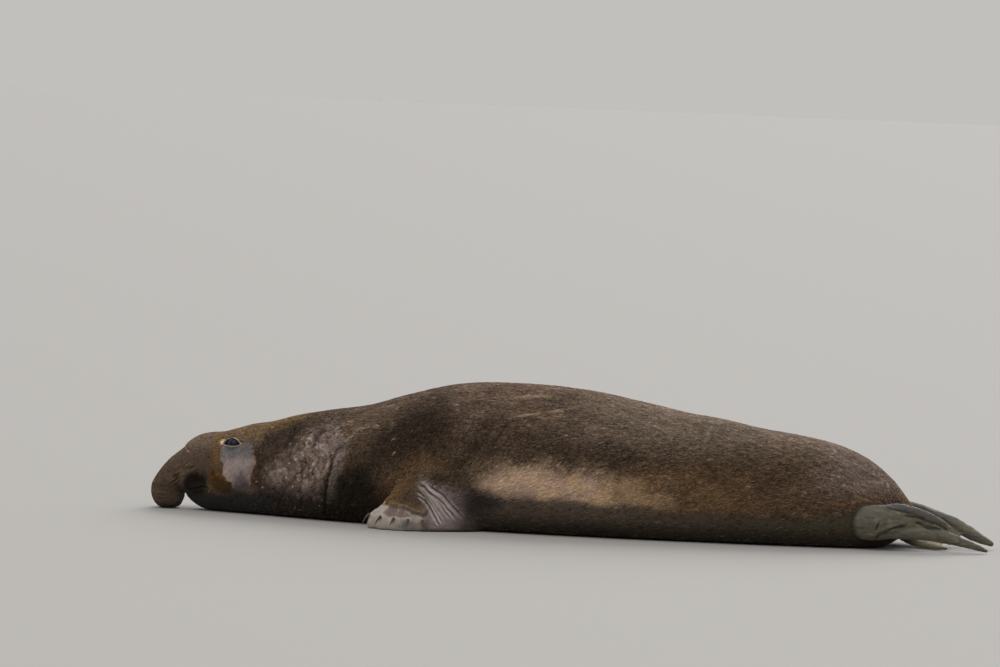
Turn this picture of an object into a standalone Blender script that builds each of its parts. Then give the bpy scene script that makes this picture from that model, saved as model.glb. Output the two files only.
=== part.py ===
"""Adult male northern elephant seal, life size, resting on its belly with its head down.

Metres, +Z up, floor at z = 0, nose towards -X, the animal's left side towards -Y. Lengthwise places
are written as the distance behind the nose, and to_x turns them into X, so that the origin is midway
along the animal. Each solid of flesh meets its neighbours face to face with a gap of GAP.
"""

import math

import bmesh
import bpy
import numpy as np
from mathutils import Matrix, Vector
from mathutils.bvhtree import BVHTree

# Overall sizes

LENGTH = 4.468
GAP = 0.0003
CUTTER_HALF = 1.5
CLEAR = 0.4
CUT_LOW, CUT_HIGH, CUT_SPAN = -0.1, 0.9, 0.6

# The body is one loft of closed sections from the tail root to the tip of the proboscis. A section
# runs from a point on the back line to a point on the under line. Each row: back line behind nose and
# height, under line behind nose and height, half-width, height of the widest place and half-width of
# the flat that rests on the floor (both as shares), and fullness of the upper half (2 is an ellipse).

STATIONS = [
    # rump and tail root
    (4.075, 0.200, 4.070, 0.115, 0.070, 0.50, 0.20, 2.0),
    (4.029, 0.241, 4.020, 0.075, 0.140, 0.45, 0.30, 2.0),
    (3.974, 0.306, 3.960, 0.030, 0.200, 0.42, 0.45, 2.0),
    (3.920, 0.360, 3.900, 0.004, 0.248, 0.40, 0.58, 2.0),
    (3.813, 0.437, 3.800, 0.000, 0.305, 0.36, 0.68, 2.0),
    (3.654, 0.506, 3.650, 0.000, 0.358, 0.33, 0.72, 2.1),
    (3.444, 0.553, 3.440, 0.000, 0.410, 0.31, 0.75, 2.1),
    # hips and belly
    (3.233, 0.583, 3.230, 0.000, 0.450, 0.30, 0.76, 2.1),
    (2.811, 0.651, 2.811, 0.000, 0.510, 0.28, 0.78, 2.1),
    (2.386, 0.726, 2.386, 0.000, 0.548, 0.27, 0.78, 2.1),
    (1.960, 0.749, 1.960, 0.000, 0.556, 0.27, 0.78, 2.1),
    # shoulders and chest
    (1.640, 0.728, 1.640, 0.000, 0.538, 0.28, 0.77, 2.1),
    (1.377, 0.663, 1.377, 0.000, 0.500, 0.30, 0.75, 2.1),
    (1.165, 0.595, 1.150, 0.000, 0.446, 0.32, 0.72, 2.1),
    # neck
    (0.951, 0.558, 0.930, 0.000, 0.376, 0.34, 0.68, 2.1),
    (0.790, 0.527, 0.780, 0.000, 0.318, 0.35, 0.64, 2.1),
    (0.650, 0.487, 0.655, 0.000, 0.266, 0.37, 0.60, 2.1),
    # cheeks, brow and throat
    (0.545, 0.468, 0.560, 0.000, 0.232, 0.40, 0.56, 2.1),
    (0.450, 0.438, 0.475, 0.000, 0.203, 0.43, 0.50, 2.1),
    (0.388, 0.421, 0.415, 0.000, 0.186, 0.45, 0.44, 2.1),
    (0.320, 0.414, 0.340, 0.000, 0.168, 0.47, 0.36, 2.1),
    (0.265, 0.401, 0.290, 0.009, 0.154, 0.49, 0.28, 2.2),
    # chin, running up to the cleft under the proboscis
    (0.222, 0.379, 0.244, 0.032, 0.146, 0.51, 0.22, 2.2),
    (0.192, 0.354, 0.214, 0.056, 0.139, 0.52, 0.18, 2.2),
    (0.176, 0.331, 0.195, 0.083, 0.133, 0.52, 0.16, 2.2),
    (0.143, 0.304, 0.1830, 0.1010, 0.132, 0.52, 0.14, 2.2),
    # proboscis, fanning round the cleft and down to the floor
    (0.099, 0.266, 0.1775, 0.1080, 0.134, 0.52, 0.12, 2.2),
    (0.057, 0.216, 0.1760, 0.1090, 0.134, 0.52, 0.12, 2.2),
    (0.027, 0.170, 0.1755, 0.1050, 0.131, 0.52, 0.12, 2.2),
    (0.006, 0.128, 0.1760, 0.0970, 0.126, 0.52, 0.14, 2.2),
    (0.003, 0.078, 0.1770, 0.0820, 0.119, 0.52, 0.16, 2.2),
    (0.015, 0.040, 0.1770, 0.0620, 0.109, 0.52, 0.18, 2.2),
    (0.035, 0.013, 0.1745, 0.0480, 0.096, 0.52, 0.20, 2.2),
    (0.060, -0.003, 0.1690, 0.0340, 0.082, 0.52, 0.24, 2.2),
    (0.092, -0.006, 0.1610, 0.0200, 0.062, 0.52, 0.28, 2.2),
    (0.120, -0.006, 0.1500, 0.0060, 0.036, 0.52, 0.30, 2.2),
]

AROUND = 38
SPACING_TRUNK = 0.115
SPACING_NECK = 0.050
SPACING_HEAD = 0.034
STATIONS_HEAD_TO = 0.64
NECK_TO = 1.10

# Creases of the chest shield, each a transverse fold: place behind the nose, depth, height it fades at.

CREASES = [
    (0.715, 0.008, 0.38),
    (0.800, 0.010, 0.44),
    (0.905, 0.014, 0.50),
    (1.030, 0.028, 0.60),
    (1.105, 0.009, 0.40),
]
CREASE_RINGS = 0.020
CREASE_WIDTH = 0.012
CREASE_LIP_WIDTH = 0.034
CREASE_LIP_SHARE = 0.35

# Swellings and hollows of the sides of the head: place behind the nose, height, reach, rise.

SWELLINGS = [
    (0.128, 0.150, 0.055, 0.010),
    (0.215, 0.235, 0.060, 0.006),
    (0.285, 0.158, 0.042, -0.015),
    (0.455, 0.425, 0.050, 0.012),
    (0.480, 0.150, 0.110, 0.012),
]

# Eyes, lids, nostrils and mouth

EYE_AT = (0.468, 0.367)
EYE_RADIUS = 0.046
EYE_SINK = 0.035
LID = 0.005
EYE_HALF_WIDTH, EYE_HALF_HEIGHT = 0.045, 0.021
EYE_TILT_DEG = 14.0
EYE_PRISM = (0.50, 2.0)
NOSTRIL_AT = (0.162, 0.042, 0.040)
NOSTRIL_RADII = (0.028, 0.012, 0.018)
MOUTH_LINE = [(0.183, 0.112), (0.218, 0.109), (0.268, 0.118), (0.322, 0.132), (0.352, 0.122)]
MOUTH_RADIUS = 0.008
EAR_AT = (0.590, 0.345)
EAR_RADIUS = 0.009

# Where the body is parted: line in the side view from the under side to the back, behind the nose

PROBOSCIS_CUT = [(0.190, -0.050), (0.190, 0.050), (0.187, 0.080), (0.1795, 0.1060), (0.172, 0.322), (0.164, 0.420)]
HEAD_NECK = (0.660, 0.650)
NECK_CHEST = (1.066, 1.066)
CHEST_BELLY = (1.960, 1.960)
BELLY_HIPS = (2.950, 2.950)

# Tail: behind the nose, height, half-width, half-thickness

TAIL_STATIONS = [
    (3.900, 0.205, 0.062, 0.038),
    (3.990, 0.196, 0.060, 0.032),
    (4.050, 0.180, 0.050, 0.022),
    (4.100, 0.162, 0.036, 0.014),
    (4.125, 0.152, 0.018, 0.009),
]

# Limbs. Each station: behind the nose, out to the side, height, half-height, half-breadth. Lengths are
# of the left side; the right side mirrors them unless it has stations of its own.

FORE_CENTRE = (1.545, 0.430)
# Outline on the floor round that centre: angle from straight ahead, distance
FORE_FRONT = [(-60.0, 0.090), (-15.0, 0.130), (0.0, 0.165), (14.0, 0.195), (26.0, 0.232), (36.0, 0.275)]
FORE_FINGERS = [(45.0, 0.330), (60.0, 0.322), (74.5, 0.312), (89.0, 0.300), (104.0, 0.284)]
FORE_REAR = [
    (110.0, 0.268),
    (125.0, 0.268),
    (135.0, 0.275),
    (145.0, 0.290),
    (155.0, 0.310),
    (165.0, 0.335),
    (175.0, 0.350),
    (185.0, 0.300),
    (240.0, 0.100),
]
# Height over the floor at shares of that distance: ahead, over the first finger, the others, and behind
FORE_SHARES = (0.22, 0.42, 0.55, 0.64, 0.72, 0.80, 0.88, 0.95, 1.00)
FORE_TOP = 0.252
FORE_HEIGHTS = [
    (0.0, (0.250, 0.240, 0.224, 0.205, 0.180, 0.150, 0.110, 0.066, 0.018)),
    (45.0, (0.250, 0.232, 0.192, 0.150, 0.118, 0.098, 0.084, 0.064, 0.022)),
    (75.0, (0.250, 0.238, 0.214, 0.172, 0.122, 0.092, 0.072, 0.052, 0.018)),
    (110.0, (0.250, 0.238, 0.210, 0.172, 0.132, 0.098, 0.070, 0.046, 0.014)),
    (180.0, (0.246, 0.222, 0.192, 0.166, 0.140, 0.110, 0.078, 0.044, 0.010)),
]
FINGER_RIDGE = 0.008
FINGER_NOTCH = 0.10
PLEATS_FROM, PLEATS_TO, PLEATS = 112.0, 166.0, 6
PLEAT_DEPTH = 0.007
PLEAT_BEND = 22.0

HIND_FOOT = [
    (3.700, 0.150, 0.140, 0.065, 0.065),
    (3.790, 0.238, 0.139, 0.091, 0.074),
    (3.870, 0.272, 0.140, 0.096, 0.066),
    (3.960, 0.268, 0.148, 0.090, 0.050),
    (4.060, 0.248, 0.148, 0.072, 0.030),
    (4.160, 0.224, 0.130, 0.048, 0.020),
    (4.240, 0.196, 0.106, 0.022, 0.012),
]
RIGHT_FOOT_DROP = 0.016
LEFT_TOES = [
    # the upper outer toe, three short middle toes, and the long lower outer toe, root to tip
    [(3.900, 0.262, 0.196, 0.034), (4.010, 0.250, 0.221, 0.027), (4.130, 0.224, 0.194, 0.023),
     (4.210, 0.200, 0.158, 0.020), (4.262, 0.180, 0.126, 0.011)],
    [(3.920, 0.270, 0.172, 0.030), (4.030, 0.258, 0.178, 0.021), (4.150, 0.228, 0.150, 0.017),
     (4.258, 0.190, 0.112, 0.009)],
    [(3.930, 0.272, 0.146, 0.030), (4.040, 0.260, 0.152, 0.021), (4.150, 0.228, 0.131, 0.017),
     (4.250, 0.190, 0.098, 0.009)],
    [(3.900, 0.264, 0.096, 0.040), (4.010, 0.258, 0.094, 0.036), (4.160, 0.228, 0.092, 0.038),
     (4.300, 0.194, 0.064, 0.032), (4.400, 0.166, 0.036, 0.021), (4.448, 0.152, 0.017, 0.012)],
]
RIGHT_TOES = [
    [(3.900, 0.262, 0.184, 0.036), (4.010, 0.240, 0.186, 0.036), (4.130, 0.200, 0.155, 0.038),
     (4.250, 0.160, 0.119, 0.040), (4.360, 0.124, 0.070, 0.034), (4.446, 0.100, 0.036, 0.020)],
    [(3.920, 0.262, 0.160, 0.030), (4.030, 0.215, 0.148, 0.021), (4.170, 0.140, 0.112, 0.017),
     (4.290, 0.082, 0.062, 0.009)],
    [(3.920, 0.245, 0.105, 0.030), (4.020, 0.140, 0.084, 0.022), (4.140, 0.050, 0.056, 0.018),
     (4.250, -0.006, 0.030, 0.009)],
    [(3.900, 0.235, 0.085, 0.038), (3.985, 0.120, 0.052, 0.030), (4.060, 0.020, 0.030, 0.024),
     (4.150, -0.050, 0.022, 0.020), (4.236, -0.092, 0.012, 0.010)],
]
TOE_WEB_SHARE = (0.10, 0.90)
TOE_WEB = 0.008

CLAW_LENGTH = 0.040
CLAW_ROOT = 0.009
CLAW_TIP = 0.002
CLAW_FROM = 0.95
CLAW_TIP_HEIGHT = 0.028

FUR_BROWN = (0.105, 0.060, 0.034)
SHIELD_GREY = (0.170, 0.120, 0.098)
FLIPPER_GREY = (0.110, 0.098, 0.085)
EYE_BLACK = (0.008, 0.009, 0.014)
CLAW_HORN = (0.060, 0.048, 0.038)


def to_x(behind_nose):
    return behind_nose - LENGTH / 2


def material(name, colour, roughness):
    made = bpy.data.materials.new(name)
    made.use_nodes = True
    shader = made.node_tree.nodes["Principled BSDF"]
    shader.inputs["Base Color"].default_value = (*colour, 1)
    shader.inputs["Roughness"].default_value = roughness
    shader.inputs["Metallic"].default_value = 0
    return made


# Smooth curves through stations


def smooth(rows, at):
    """Values of the Catmull-Rom curve through rows, at positions counted in rows, such as 2.5."""
    rows = np.asarray(rows, float)
    padded = np.vstack([2 * rows[0] - rows[1], rows, 2 * rows[-1] - rows[-2]])
    at = np.clip(np.asarray(at, float), 0, len(rows) - 1)
    first = np.minimum(at.astype(int), len(rows) - 2)
    t = (at - first)[:, None]
    a, b, c, d = (padded[first + k] for k in range(4))
    return 0.5 * (2 * b + (c - a) * t + (2 * a - 5 * b + 4 * c - d) * t**2 + (3 * b - a - 3 * c + d) * t**3)


def ring_spacing(place):
    if place < STATIONS_HEAD_TO:
        return SPACING_HEAD
    if place < NECK_TO:
        return SPACING_NECK
    return min(SPACING_TRUNK, SPACING_NECK + 0.3 * (place - NECK_TO))


def ring_positions():
    """Where the body's rings lie, counted in stations: spaced by ring_spacing, and close at each crease."""
    fine = np.linspace(0, len(STATIONS) - 1, 4000)
    line = smooth(STATIONS, fine)
    middle = (line[:, 0:2] + line[:, 2:4]) / 2
    step = np.linalg.norm(np.diff(middle, axis=0), axis=1)
    back = np.linalg.norm(np.diff(line[:, 0:2], axis=0), axis=1)
    wanted = np.array([ring_spacing(place) for place in middle[1:, 0]])
    rings = np.concatenate([[0], np.cumsum(np.maximum(step, 0.8 * back) / wanted)])
    even = np.linspace(0, rings[-1], int(round(rings[-1])) + 1)
    chosen = np.interp(even, rings, fine)
    place_of = np.interp(chosen, fine, middle[:, 0])
    near = np.min([np.abs(place_of - crease[0]) for crease in CREASES], axis=0)
    kept = chosen[near > 1.6 * CREASE_RINGS]
    trunk = middle[:, 0] > STATIONS_HEAD_TO - 0.1
    added = [at + k * CREASE_RINGS for at, _, _ in CREASES for k in (-1, 0, 1)]
    at_creases = np.interp(added, middle[trunk, 0][::-1], fine[trunk][::-1])
    return np.sort(np.concatenate([kept, at_creases]))


# Closed sections and lofts


def half_section(widest, flat, fullness):
    """Half of a closed section of unit height and half-width, from the top to the middle of the bottom."""
    t = np.linspace(0, math.pi / 2, 120)
    power = 2 / fullness
    upper = np.stack([np.sin(t) ** power, widest + (1 - widest) * np.cos(t) ** power], axis=1)
    lower = np.stack([flat + (1 - flat) * np.cos(t), widest * (1 - np.sin(t))], axis=1)
    level = np.array([[flat * (1 - k / 20), 0] for k in range(1, 21)])
    return np.vstack([upper, lower[1:], level])


def ring(station, around):
    """Points of one section, top first, down the left side and up the right."""
    back = np.array([to_x(station[0]), station[1]])
    under = np.array([to_x(station[2]), station[3]])
    height = np.linalg.norm(back - under)
    line = half_section(*station[5:8]) * np.array([station[4], height])
    walked = np.concatenate([[0], np.cumsum(np.linalg.norm(np.diff(line, axis=0), axis=1))])
    even = np.linspace(0, walked[-1], around // 2 + 1)
    out = np.interp(even, walked, line[:, 0])
    up = np.interp(even, walked, line[:, 1]) / height
    left = [(under + (back - under) * u, -y) for y, u in zip(out, up)]
    right = [(under + (back - under) * u, y) for y, u in zip(out[1:-1], up[1:-1])][::-1]
    return np.array([(place[0], y, place[1]) for place, y in left + right])


def mesh_object(name, points, faces):
    mesh = bpy.data.meshes.new(name)
    mesh.from_pydata([tuple(p) for p in points], [], faces)
    made = bpy.data.objects.new(name, mesh)
    bpy.context.scene.collection.objects.link(made)
    shape = bmesh.new()
    shape.from_mesh(mesh)
    bmesh.ops.triangulate(shape, faces=shape.faces)
    bmesh.ops.recalc_face_normals(shape, faces=shape.faces)
    shape.to_mesh(mesh)
    shape.free()
    return made


def loft(name, rings):
    """A closed object whose skin runs through rings of equal counts, closed by a point at each end."""
    count = len(rings[0])
    points = [p for one in rings for p in one]
    ends = [np.mean(rings[0], axis=0), np.mean(rings[-1], axis=0)]
    faces = []
    for i in range(len(rings) - 1):
        for k in range(count):
            a, b = i * count + k, i * count + (k + 1) % count
            faces.append((a, b, b + count, a + count))
    first, last = len(points), len(points) + 1
    top = (len(rings) - 1) * count
    for k in range(count):
        faces.append((first, (k + 1) % count, k))
        faces.append((last, top + k, top + (k + 1) % count))
    return mesh_object(name, points + ends, faces)


def tube_rings(path, around, side):
    """Rings of an elliptical tube along path rows of (behind nose, out, height, half-height, half-breadth)."""
    rows = np.array(path, float)
    centres = np.stack([to_x(rows[:, 0]), side * rows[:, 1], rows[:, 2]], axis=1)
    along = np.gradient(centres, axis=0)
    rings = []
    for centre, tangent, high, broad in zip(centres, along, rows[:, 3], rows[:, 4]):
        tangent = tangent / np.linalg.norm(tangent)
        across = np.cross((0, 0, 1), tangent)
        across = across / np.linalg.norm(across)
        up = np.cross(tangent, across)
        angles = 2 * math.pi * np.arange(around) / around
        rings.append([centre + up * high * math.cos(a) + across * broad * math.sin(a) for a in angles])
    return np.array(rings)


def rounded(path, count):
    """The path sampled smoothly in count rows, with two more that round its tip."""
    rows = smooth(path, np.linspace(0, len(path) - 1, count))
    end = rows[-1].copy()
    ahead = end[:3] - rows[-2][:3]
    ahead = ahead / np.linalg.norm(ahead)
    for turn in (40, 75):
        extra = end.copy()
        extra[:3] = end[:3] + ahead * end[3] * math.sin(math.radians(turn))
        extra[3:] = end[3:] * math.cos(math.radians(turn))
        rows = np.vstack([rows, extra])
    return rows


def keep_on_floor(obj):
    for vertex in obj.data.vertices:
        vertex.co.z = max(vertex.co.z, 0.0)


def tube(name, path, around, count, side):
    return loft(name, list(tube_rings(rounded(path, count), around, side)))


# Joining and cutting


def apply_boolean(obj, operation, other=None, others=None):
    cut = obj.modifiers.new("cut", "BOOLEAN")
    cut.operation = operation
    cut.solver = "EXACT"
    if others is not None:
        cut.operand_type = "COLLECTION"
        cut.collection = others
    else:
        cut.object = other
    graph = bpy.context.evaluated_depsgraph_get()
    made = bpy.data.meshes.new_from_object(obj.evaluated_get(graph))
    obj.modifiers.clear()
    obj.data = made


def remove(obj):
    bpy.data.objects.remove(obj)


def union(name, pieces):
    """One closed object from overlapping closed ones."""
    group = bpy.data.collections.new(name + "_pieces")
    bpy.context.scene.collection.children.link(group)
    for piece in pieces[1:]:
        bpy.context.scene.collection.objects.unlink(piece)
        group.objects.link(piece)
    whole = pieces[0]
    apply_boolean(whole, "UNION", others=group)
    for piece in pieces[1:]:
        remove(piece)
    bpy.data.collections.remove(group)
    whole.name = name
    whole.data.name = name
    return whole


def largest_only(obj):
    """Drops every loose scrap but the largest closed surface."""
    shape = bmesh.new()
    shape.from_mesh(obj.data)
    bmesh.ops.remove_doubles(shape, verts=shape.verts, dist=0.00002)
    bmesh.ops.triangulate(shape, faces=shape.faces)
    unseen = set(shape.verts)
    groups = []
    while unseen:
        stack = [unseen.pop()]
        group = list(stack)
        while stack:
            for edge in stack.pop().link_edges:
                for vertex in edge.verts:
                    if vertex in unseen:
                        unseen.discard(vertex)
                        stack.append(vertex)
                        group.append(vertex)
        groups.append(group)
    groups.sort(key=len)
    bmesh.ops.delete(shape, geom=[v for g in groups[:-1] for v in g], context="VERTS")
    shape.to_mesh(obj.data)
    shape.free()


def grown(obj, by):
    """A copy of obj, larger by that distance all over."""
    copy = obj.copy()
    copy.data = obj.data.copy()
    bpy.context.scene.collection.objects.link(copy)
    shape = bmesh.new()
    shape.from_mesh(copy.data)
    bmesh.ops.recalc_face_normals(shape, faces=shape.faces)
    shape.normal_update()
    moves = [(vertex, vertex.normal.copy() * by * vertex.calc_shell_factor()) for vertex in shape.verts]
    for vertex, move in moves:
        vertex.co += move
    shape.to_mesh(copy.data)
    shape.free()
    return copy


def prism(name, outline):
    """A cutter through the whole width of the animal, from an outline in the side view."""
    count = len(outline)
    points = [(to_x(s), y, z) for y in (-CUTTER_HALF, CUTTER_HALF) for s, z in outline]
    faces = [tuple(range(count)), tuple(range(2 * count - 1, count - 1, -1))]
    faces += [(k, (k + 1) % count, (k + 1) % count + count, k + count) for k in range(count)]
    return mesh_object(name, points, faces)


def slab(name, front, back):
    """The stretch between two cuts, each a line (place at the floor, place at the back's top height)."""
    low, high = CUT_LOW, CUT_HIGH
    front_at = [front[0] + (front[1] - front[0]) * z / CUT_SPAN + GAP / 2 for z in (low, high)]
    back_at = [back[0] + (back[1] - back[0]) * z / CUT_SPAN - GAP / 2 for z in (low, high)]
    return prism(name, [(front_at[0], low), (back_at[0], low), (back_at[1], high), (front_at[1], high)])


def part_of(body, cutter, name):
    piece = body.copy()
    piece.data = body.data.copy()
    piece.name = name
    piece.data.name = name
    bpy.context.scene.collection.objects.link(piece)
    apply_boolean(piece, "INTERSECT", cutter)
    largest_only(piece)
    return piece


# Body


def relief(points, normals):
    """Moves points for the creases of the chest shield and the swellings and hollows of the head."""
    place = points[:, 0] + LENGTH / 2
    height = points[:, 2]
    move = np.zeros(len(points))
    for at, depth, top in CREASES:
        fade = np.clip((top - height) / 0.10, 0, 1) * np.clip(height / 0.03, 0, 1)
        offset = place - at
        lip = CREASE_LIP_SHARE * np.exp(-((offset / CREASE_LIP_WIDTH) ** 2))
        move += depth * fade * (lip - (1 + CREASE_LIP_SHARE) * np.exp(-((offset / CREASE_WIDTH) ** 2)))
    for at, high, reach, rise in SWELLINGS:
        distance = ((place - at) ** 2 + (height - high) ** 2) / reach**2
        move += rise * np.exp(-distance) * np.abs(normals[:, 1])
    return points + normals * move[:, None]


def make_body():
    rings = [ring(station, AROUND) for station in smooth(STATIONS, ring_positions())]
    body = loft("body", rings)
    count = len(body.data.vertices)
    points = np.empty(count * 3)
    normals = np.empty(count * 3)
    body.data.vertices.foreach_get("co", points)
    body.data.vertices.foreach_get("normal", normals)
    moved = relief(points.reshape(-1, 3), normals.reshape(-1, 3))
    moved[:, 2] = np.maximum(moved[:, 2], 0)
    body.data.vertices.foreach_set("co", moved.ravel())
    body.data.update()
    return body


def ball(name, centre, radii, turn=None, segments=16, rings=9):
    shape = bmesh.new()
    bmesh.ops.create_uvsphere(shape, u_segments=segments, v_segments=rings, radius=1)
    bmesh.ops.scale(shape, vec=radii, verts=shape.verts)
    if turn is not None:
        bmesh.ops.transform(shape, matrix=turn.to_4x4(), verts=shape.verts)
    bmesh.ops.translate(shape, vec=centre, verts=shape.verts)
    mesh = bpy.data.meshes.new(name)
    shape.to_mesh(mesh)
    shape.free()
    made = bpy.data.objects.new(name, mesh)
    bpy.context.scene.collection.objects.link(made)
    return made


def side_hit(tree, place, height, side):
    """The point of the skin at this place and height on one side, and its outward normal."""
    start = Vector((to_x(place), side * CUTTER_HALF, height))
    hit, normal, _, _ = tree.ray_cast(start, Vector((0, -side, 0)))
    return hit, normal


def eye_frame(tree, side):
    """Centre of the eyeball, and a turn whose Z looks out of the head and X points to the rear corner."""
    hit, normal = side_hit(tree, *EYE_AT, side)
    centre = hit - normal * EYE_SINK
    rearward = Vector((1, 0, -math.tan(math.radians(EYE_TILT_DEG))))
    x_axis = (rearward - normal * rearward.dot(normal)).normalized()
    turn = Matrix((x_axis, normal.cross(x_axis), normal)).transposed()
    return centre, turn


def almond(name, centre, turn):
    """The lid opening: a prism along the eye's own axis, pointed at both corners."""
    count = 14
    outline = []
    for k in range(count):
        angle = 2 * math.pi * k / count
        x = EYE_HALF_WIDTH * math.cos(angle)
        y = EYE_HALF_HEIGHT * math.sin(angle) * (1 - 0.35 * math.cos(angle) ** 2)
        outline.append((x, y))
    depths = [EYE_RADIUS * share for share in EYE_PRISM]
    points = [centre + turn @ Vector((x, y, z)) for z in depths for x, y in outline]
    faces = [tuple(range(count)), tuple(range(2 * count - 1, count - 1, -1))]
    faces += [(k, (k + 1) % count, (k + 1) % count + count, k + count) for k in range(count)]
    return mesh_object(name, points, faces)


def mouth_groove(tree, side):
    rows = smooth(MOUTH_LINE, np.linspace(0, len(MOUTH_LINE) - 1, 10))
    hits = [side_hit(tree, s, z, side)[0] for s, z in rows]
    path = [(p.x + LENGTH / 2, side * p.y, p.z, MOUTH_RADIUS, MOUTH_RADIUS) for p in hits]
    return loft("mouth_groove", list(tube_rings(path, 6, side)))


def finish_head(body, eyes):
    """Cuts lids, eye sockets, the mouth line, ears and nostrils into the body, and makes the eyeballs."""
    tree = BVHTree.FromObject(body, bpy.context.evaluated_depsgraph_get())
    mounds, cutters = [], []
    for side, name in ((-1, "eye_left"), (1, "eye_right")):
        centre, turn = eye_frame(tree, side)
        mounds.append(ball("lids", centre, (EYE_RADIUS + LID,) * 3, turn))
        cutters.append(ball("socket", centre, (EYE_RADIUS + GAP,) * 3, turn))
        cutters.append(almond("opening", centre, turn))
        eyes.append(ball(name, centre, (EYE_RADIUS,) * 3, turn))
        cutters.append(mouth_groove(tree, side))
        ear, _ = side_hit(tree, *EAR_AT, side)
        cutters.append(ball("ear", ear, (EAR_RADIUS,) * 3, segments=8, rings=6))
        place, out, height = NOSTRIL_AT
        nostril = (to_x(place), side * out, height)
        cutters.append(ball("nostril", nostril, NOSTRIL_RADII, segments=10, rings=7))
    union("body", [body] + mounds)
    for cutter in cutters:
        apply_boolean(body, "DIFFERENCE", cutter)
        remove(cutter)


def split_body(body):
    cuts = [HEAD_NECK, NECK_CHEST, CHEST_BELLY, BELLY_HIPS, (LENGTH, LENGTH)]
    names = ["neck", "chest", "belly", "hips"]
    ahead = [(-CLEAR, PROBOSCIS_CUT[-1][1]), (-CLEAR, PROBOSCIS_CUT[0][1])]
    front_cutter = prism("front", [(s - GAP / 2, z) for s, z in PROBOSCIS_CUT] + ahead)
    nodes = [part_of(body, front_cutter, "proboscis")]
    remove(front_cutter)

    cutter = slab("cutter", (-CLEAR, -CLEAR), cuts[0])
    head = part_of(body, cutter, "head")
    remove(cutter)
    front_cutter = prism("front", [(s + GAP / 2, z) for s, z in PROBOSCIS_CUT] + ahead)
    apply_boolean(head, "DIFFERENCE", front_cutter)
    largest_only(head)
    remove(front_cutter)
    nodes.append(head)

    for name, front, back in zip(names, cuts, cuts[1:]):
        cutter = slab("cutter", front, back)
        nodes.append(part_of(body, cutter, name))
        remove(cutter)
    return nodes


# Limbs


def ribbon(name, first, second, count, side):
    """A web between two toes: a flat closed strip from one centre line to the other."""
    at = np.linspace(*TOE_WEB_SHARE, count)
    lines = []
    for toe in (first, second):
        rows = smooth(np.array(toe)[:, :3], at * (len(toe) - 1))
        lines.append(np.stack([to_x(rows[:, 0]), side * rows[:, 1], rows[:, 2]], axis=1))
    rings = []
    for k in range(count):
        a, b = lines[0][k], lines[1][k]
        ahead = lines[0][min(k + 1, count - 1)] - lines[0][max(k - 1, 0)]
        face = np.cross(b - a, ahead)
        face = face / np.linalg.norm(face)
        half = TOE_WEB * (1 - 0.35 * k / (count - 1))
        middle = (a + b) / 2
        near = [a + face * half, middle + face * half * 0.8, b + face * half]
        far = [b - face * half, middle - face * half * 0.8, a - face * half]
        rings.append(near + far)
    return loft(name, rings)


def hind_flipper(name, toes, side, drop):
    foot = [(s, out, z - drop, high, broad) for s, out, z, high, broad in HIND_FOOT]
    pieces = [tube(name, foot, 14, 10, side)]
    for k, toe in enumerate(toes):
        rows = [(*row, row[3]) for row in toe]
        around = 11 if k in (0, len(toes) - 1) else 8
        pieces.append(tube("toe", rows, around, 2 * len(toe) - 1, side))
    for first, second in zip(toes, toes[1:]):
        pieces.append(ribbon("web", first, second, 6, side))
    for piece in pieces:
        keep_on_floor(piece)
    return union(name, pieces)


def finger_count(angle):
    """Which finger an angle belongs to: 0 at the first, 1 at the second, and halves between them."""
    return float(np.interp(angle, [finger[0] for finger in FORE_FINGERS], range(len(FORE_FINGERS))))


def fore_reach(angle, share):
    """Distance from the flipper's centre, at a share of the way to its edge, notched between fingers."""
    outline = np.array(FORE_FRONT + FORE_FINGERS + FORE_REAR)
    reach = share * float(np.interp(angle, outline[:, 0], outline[:, 1]))
    if FORE_FINGERS[0][0] < angle < FORE_FINGERS[-1][0]:
        valley = (1 - math.cos(2 * math.pi * finger_count(angle))) / 2
        reach *= 1 - FINGER_NOTCH * valley * share**8
    return reach


def fore_height(angle, share):
    """Height of the flipper's upper side, at an angle and a share of the way from centre to edge."""
    angles = [row[0] for row in FORE_HEIGHTS]
    column = [np.interp(share, (0, *FORE_SHARES), (FORE_TOP, *row[1])) for row in FORE_HEIGHTS]
    height = float(np.interp(angle, angles, column))
    fade = min(max((share - 0.55) / 0.2, 0), 1) * min((1 - share) / 0.05, 1)
    if FORE_FINGERS[0][0] - 6 < angle < FORE_FINGERS[-1][0] + 6:
        height += FINGER_RIDGE * fade * math.cos(2 * math.pi * finger_count(angle))
    if PLEATS_FROM < angle < PLEATS_TO:
        bend = PLEAT_BEND * (1 - share) ** 2
        turn = (angle + bend - PLEATS_FROM) / (PLEATS_TO - PLEATS_FROM) * PLEATS
        fade = min(max((share - 0.40) / 0.2, 0), 1) * min((1 - share) / 0.12, 1)
        height -= PLEAT_DEPTH * fade * (1 - math.cos(2 * math.pi * turn))
    return height


def fore_point(angle, share, height, side):
    turn = math.radians(angle)
    reach = fore_reach(angle, share)
    place = FORE_CENTRE[0] - reach * math.cos(turn)
    return (to_x(place), side * (FORE_CENTRE[1] + reach * math.sin(turn)), height)


def fore_angles():
    fingers = [finger[0] for finger in FORE_FINGERS]
    between = [a + (b - a) * k / 4 for a, b in zip(fingers, fingers[1:]) for k in range(4)]
    pleats = list(np.linspace(PLEATS_FROM, PLEATS_TO, 2 * PLEATS + 1))
    before = [row[0] for row in FORE_FRONT] + [(FORE_FRONT[-1][0] + fingers[0]) / 2]
    return before + between + [fingers[-1]] + pleats + [row[0] for row in FORE_REAR if row[0] > PLEATS_TO]


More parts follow.
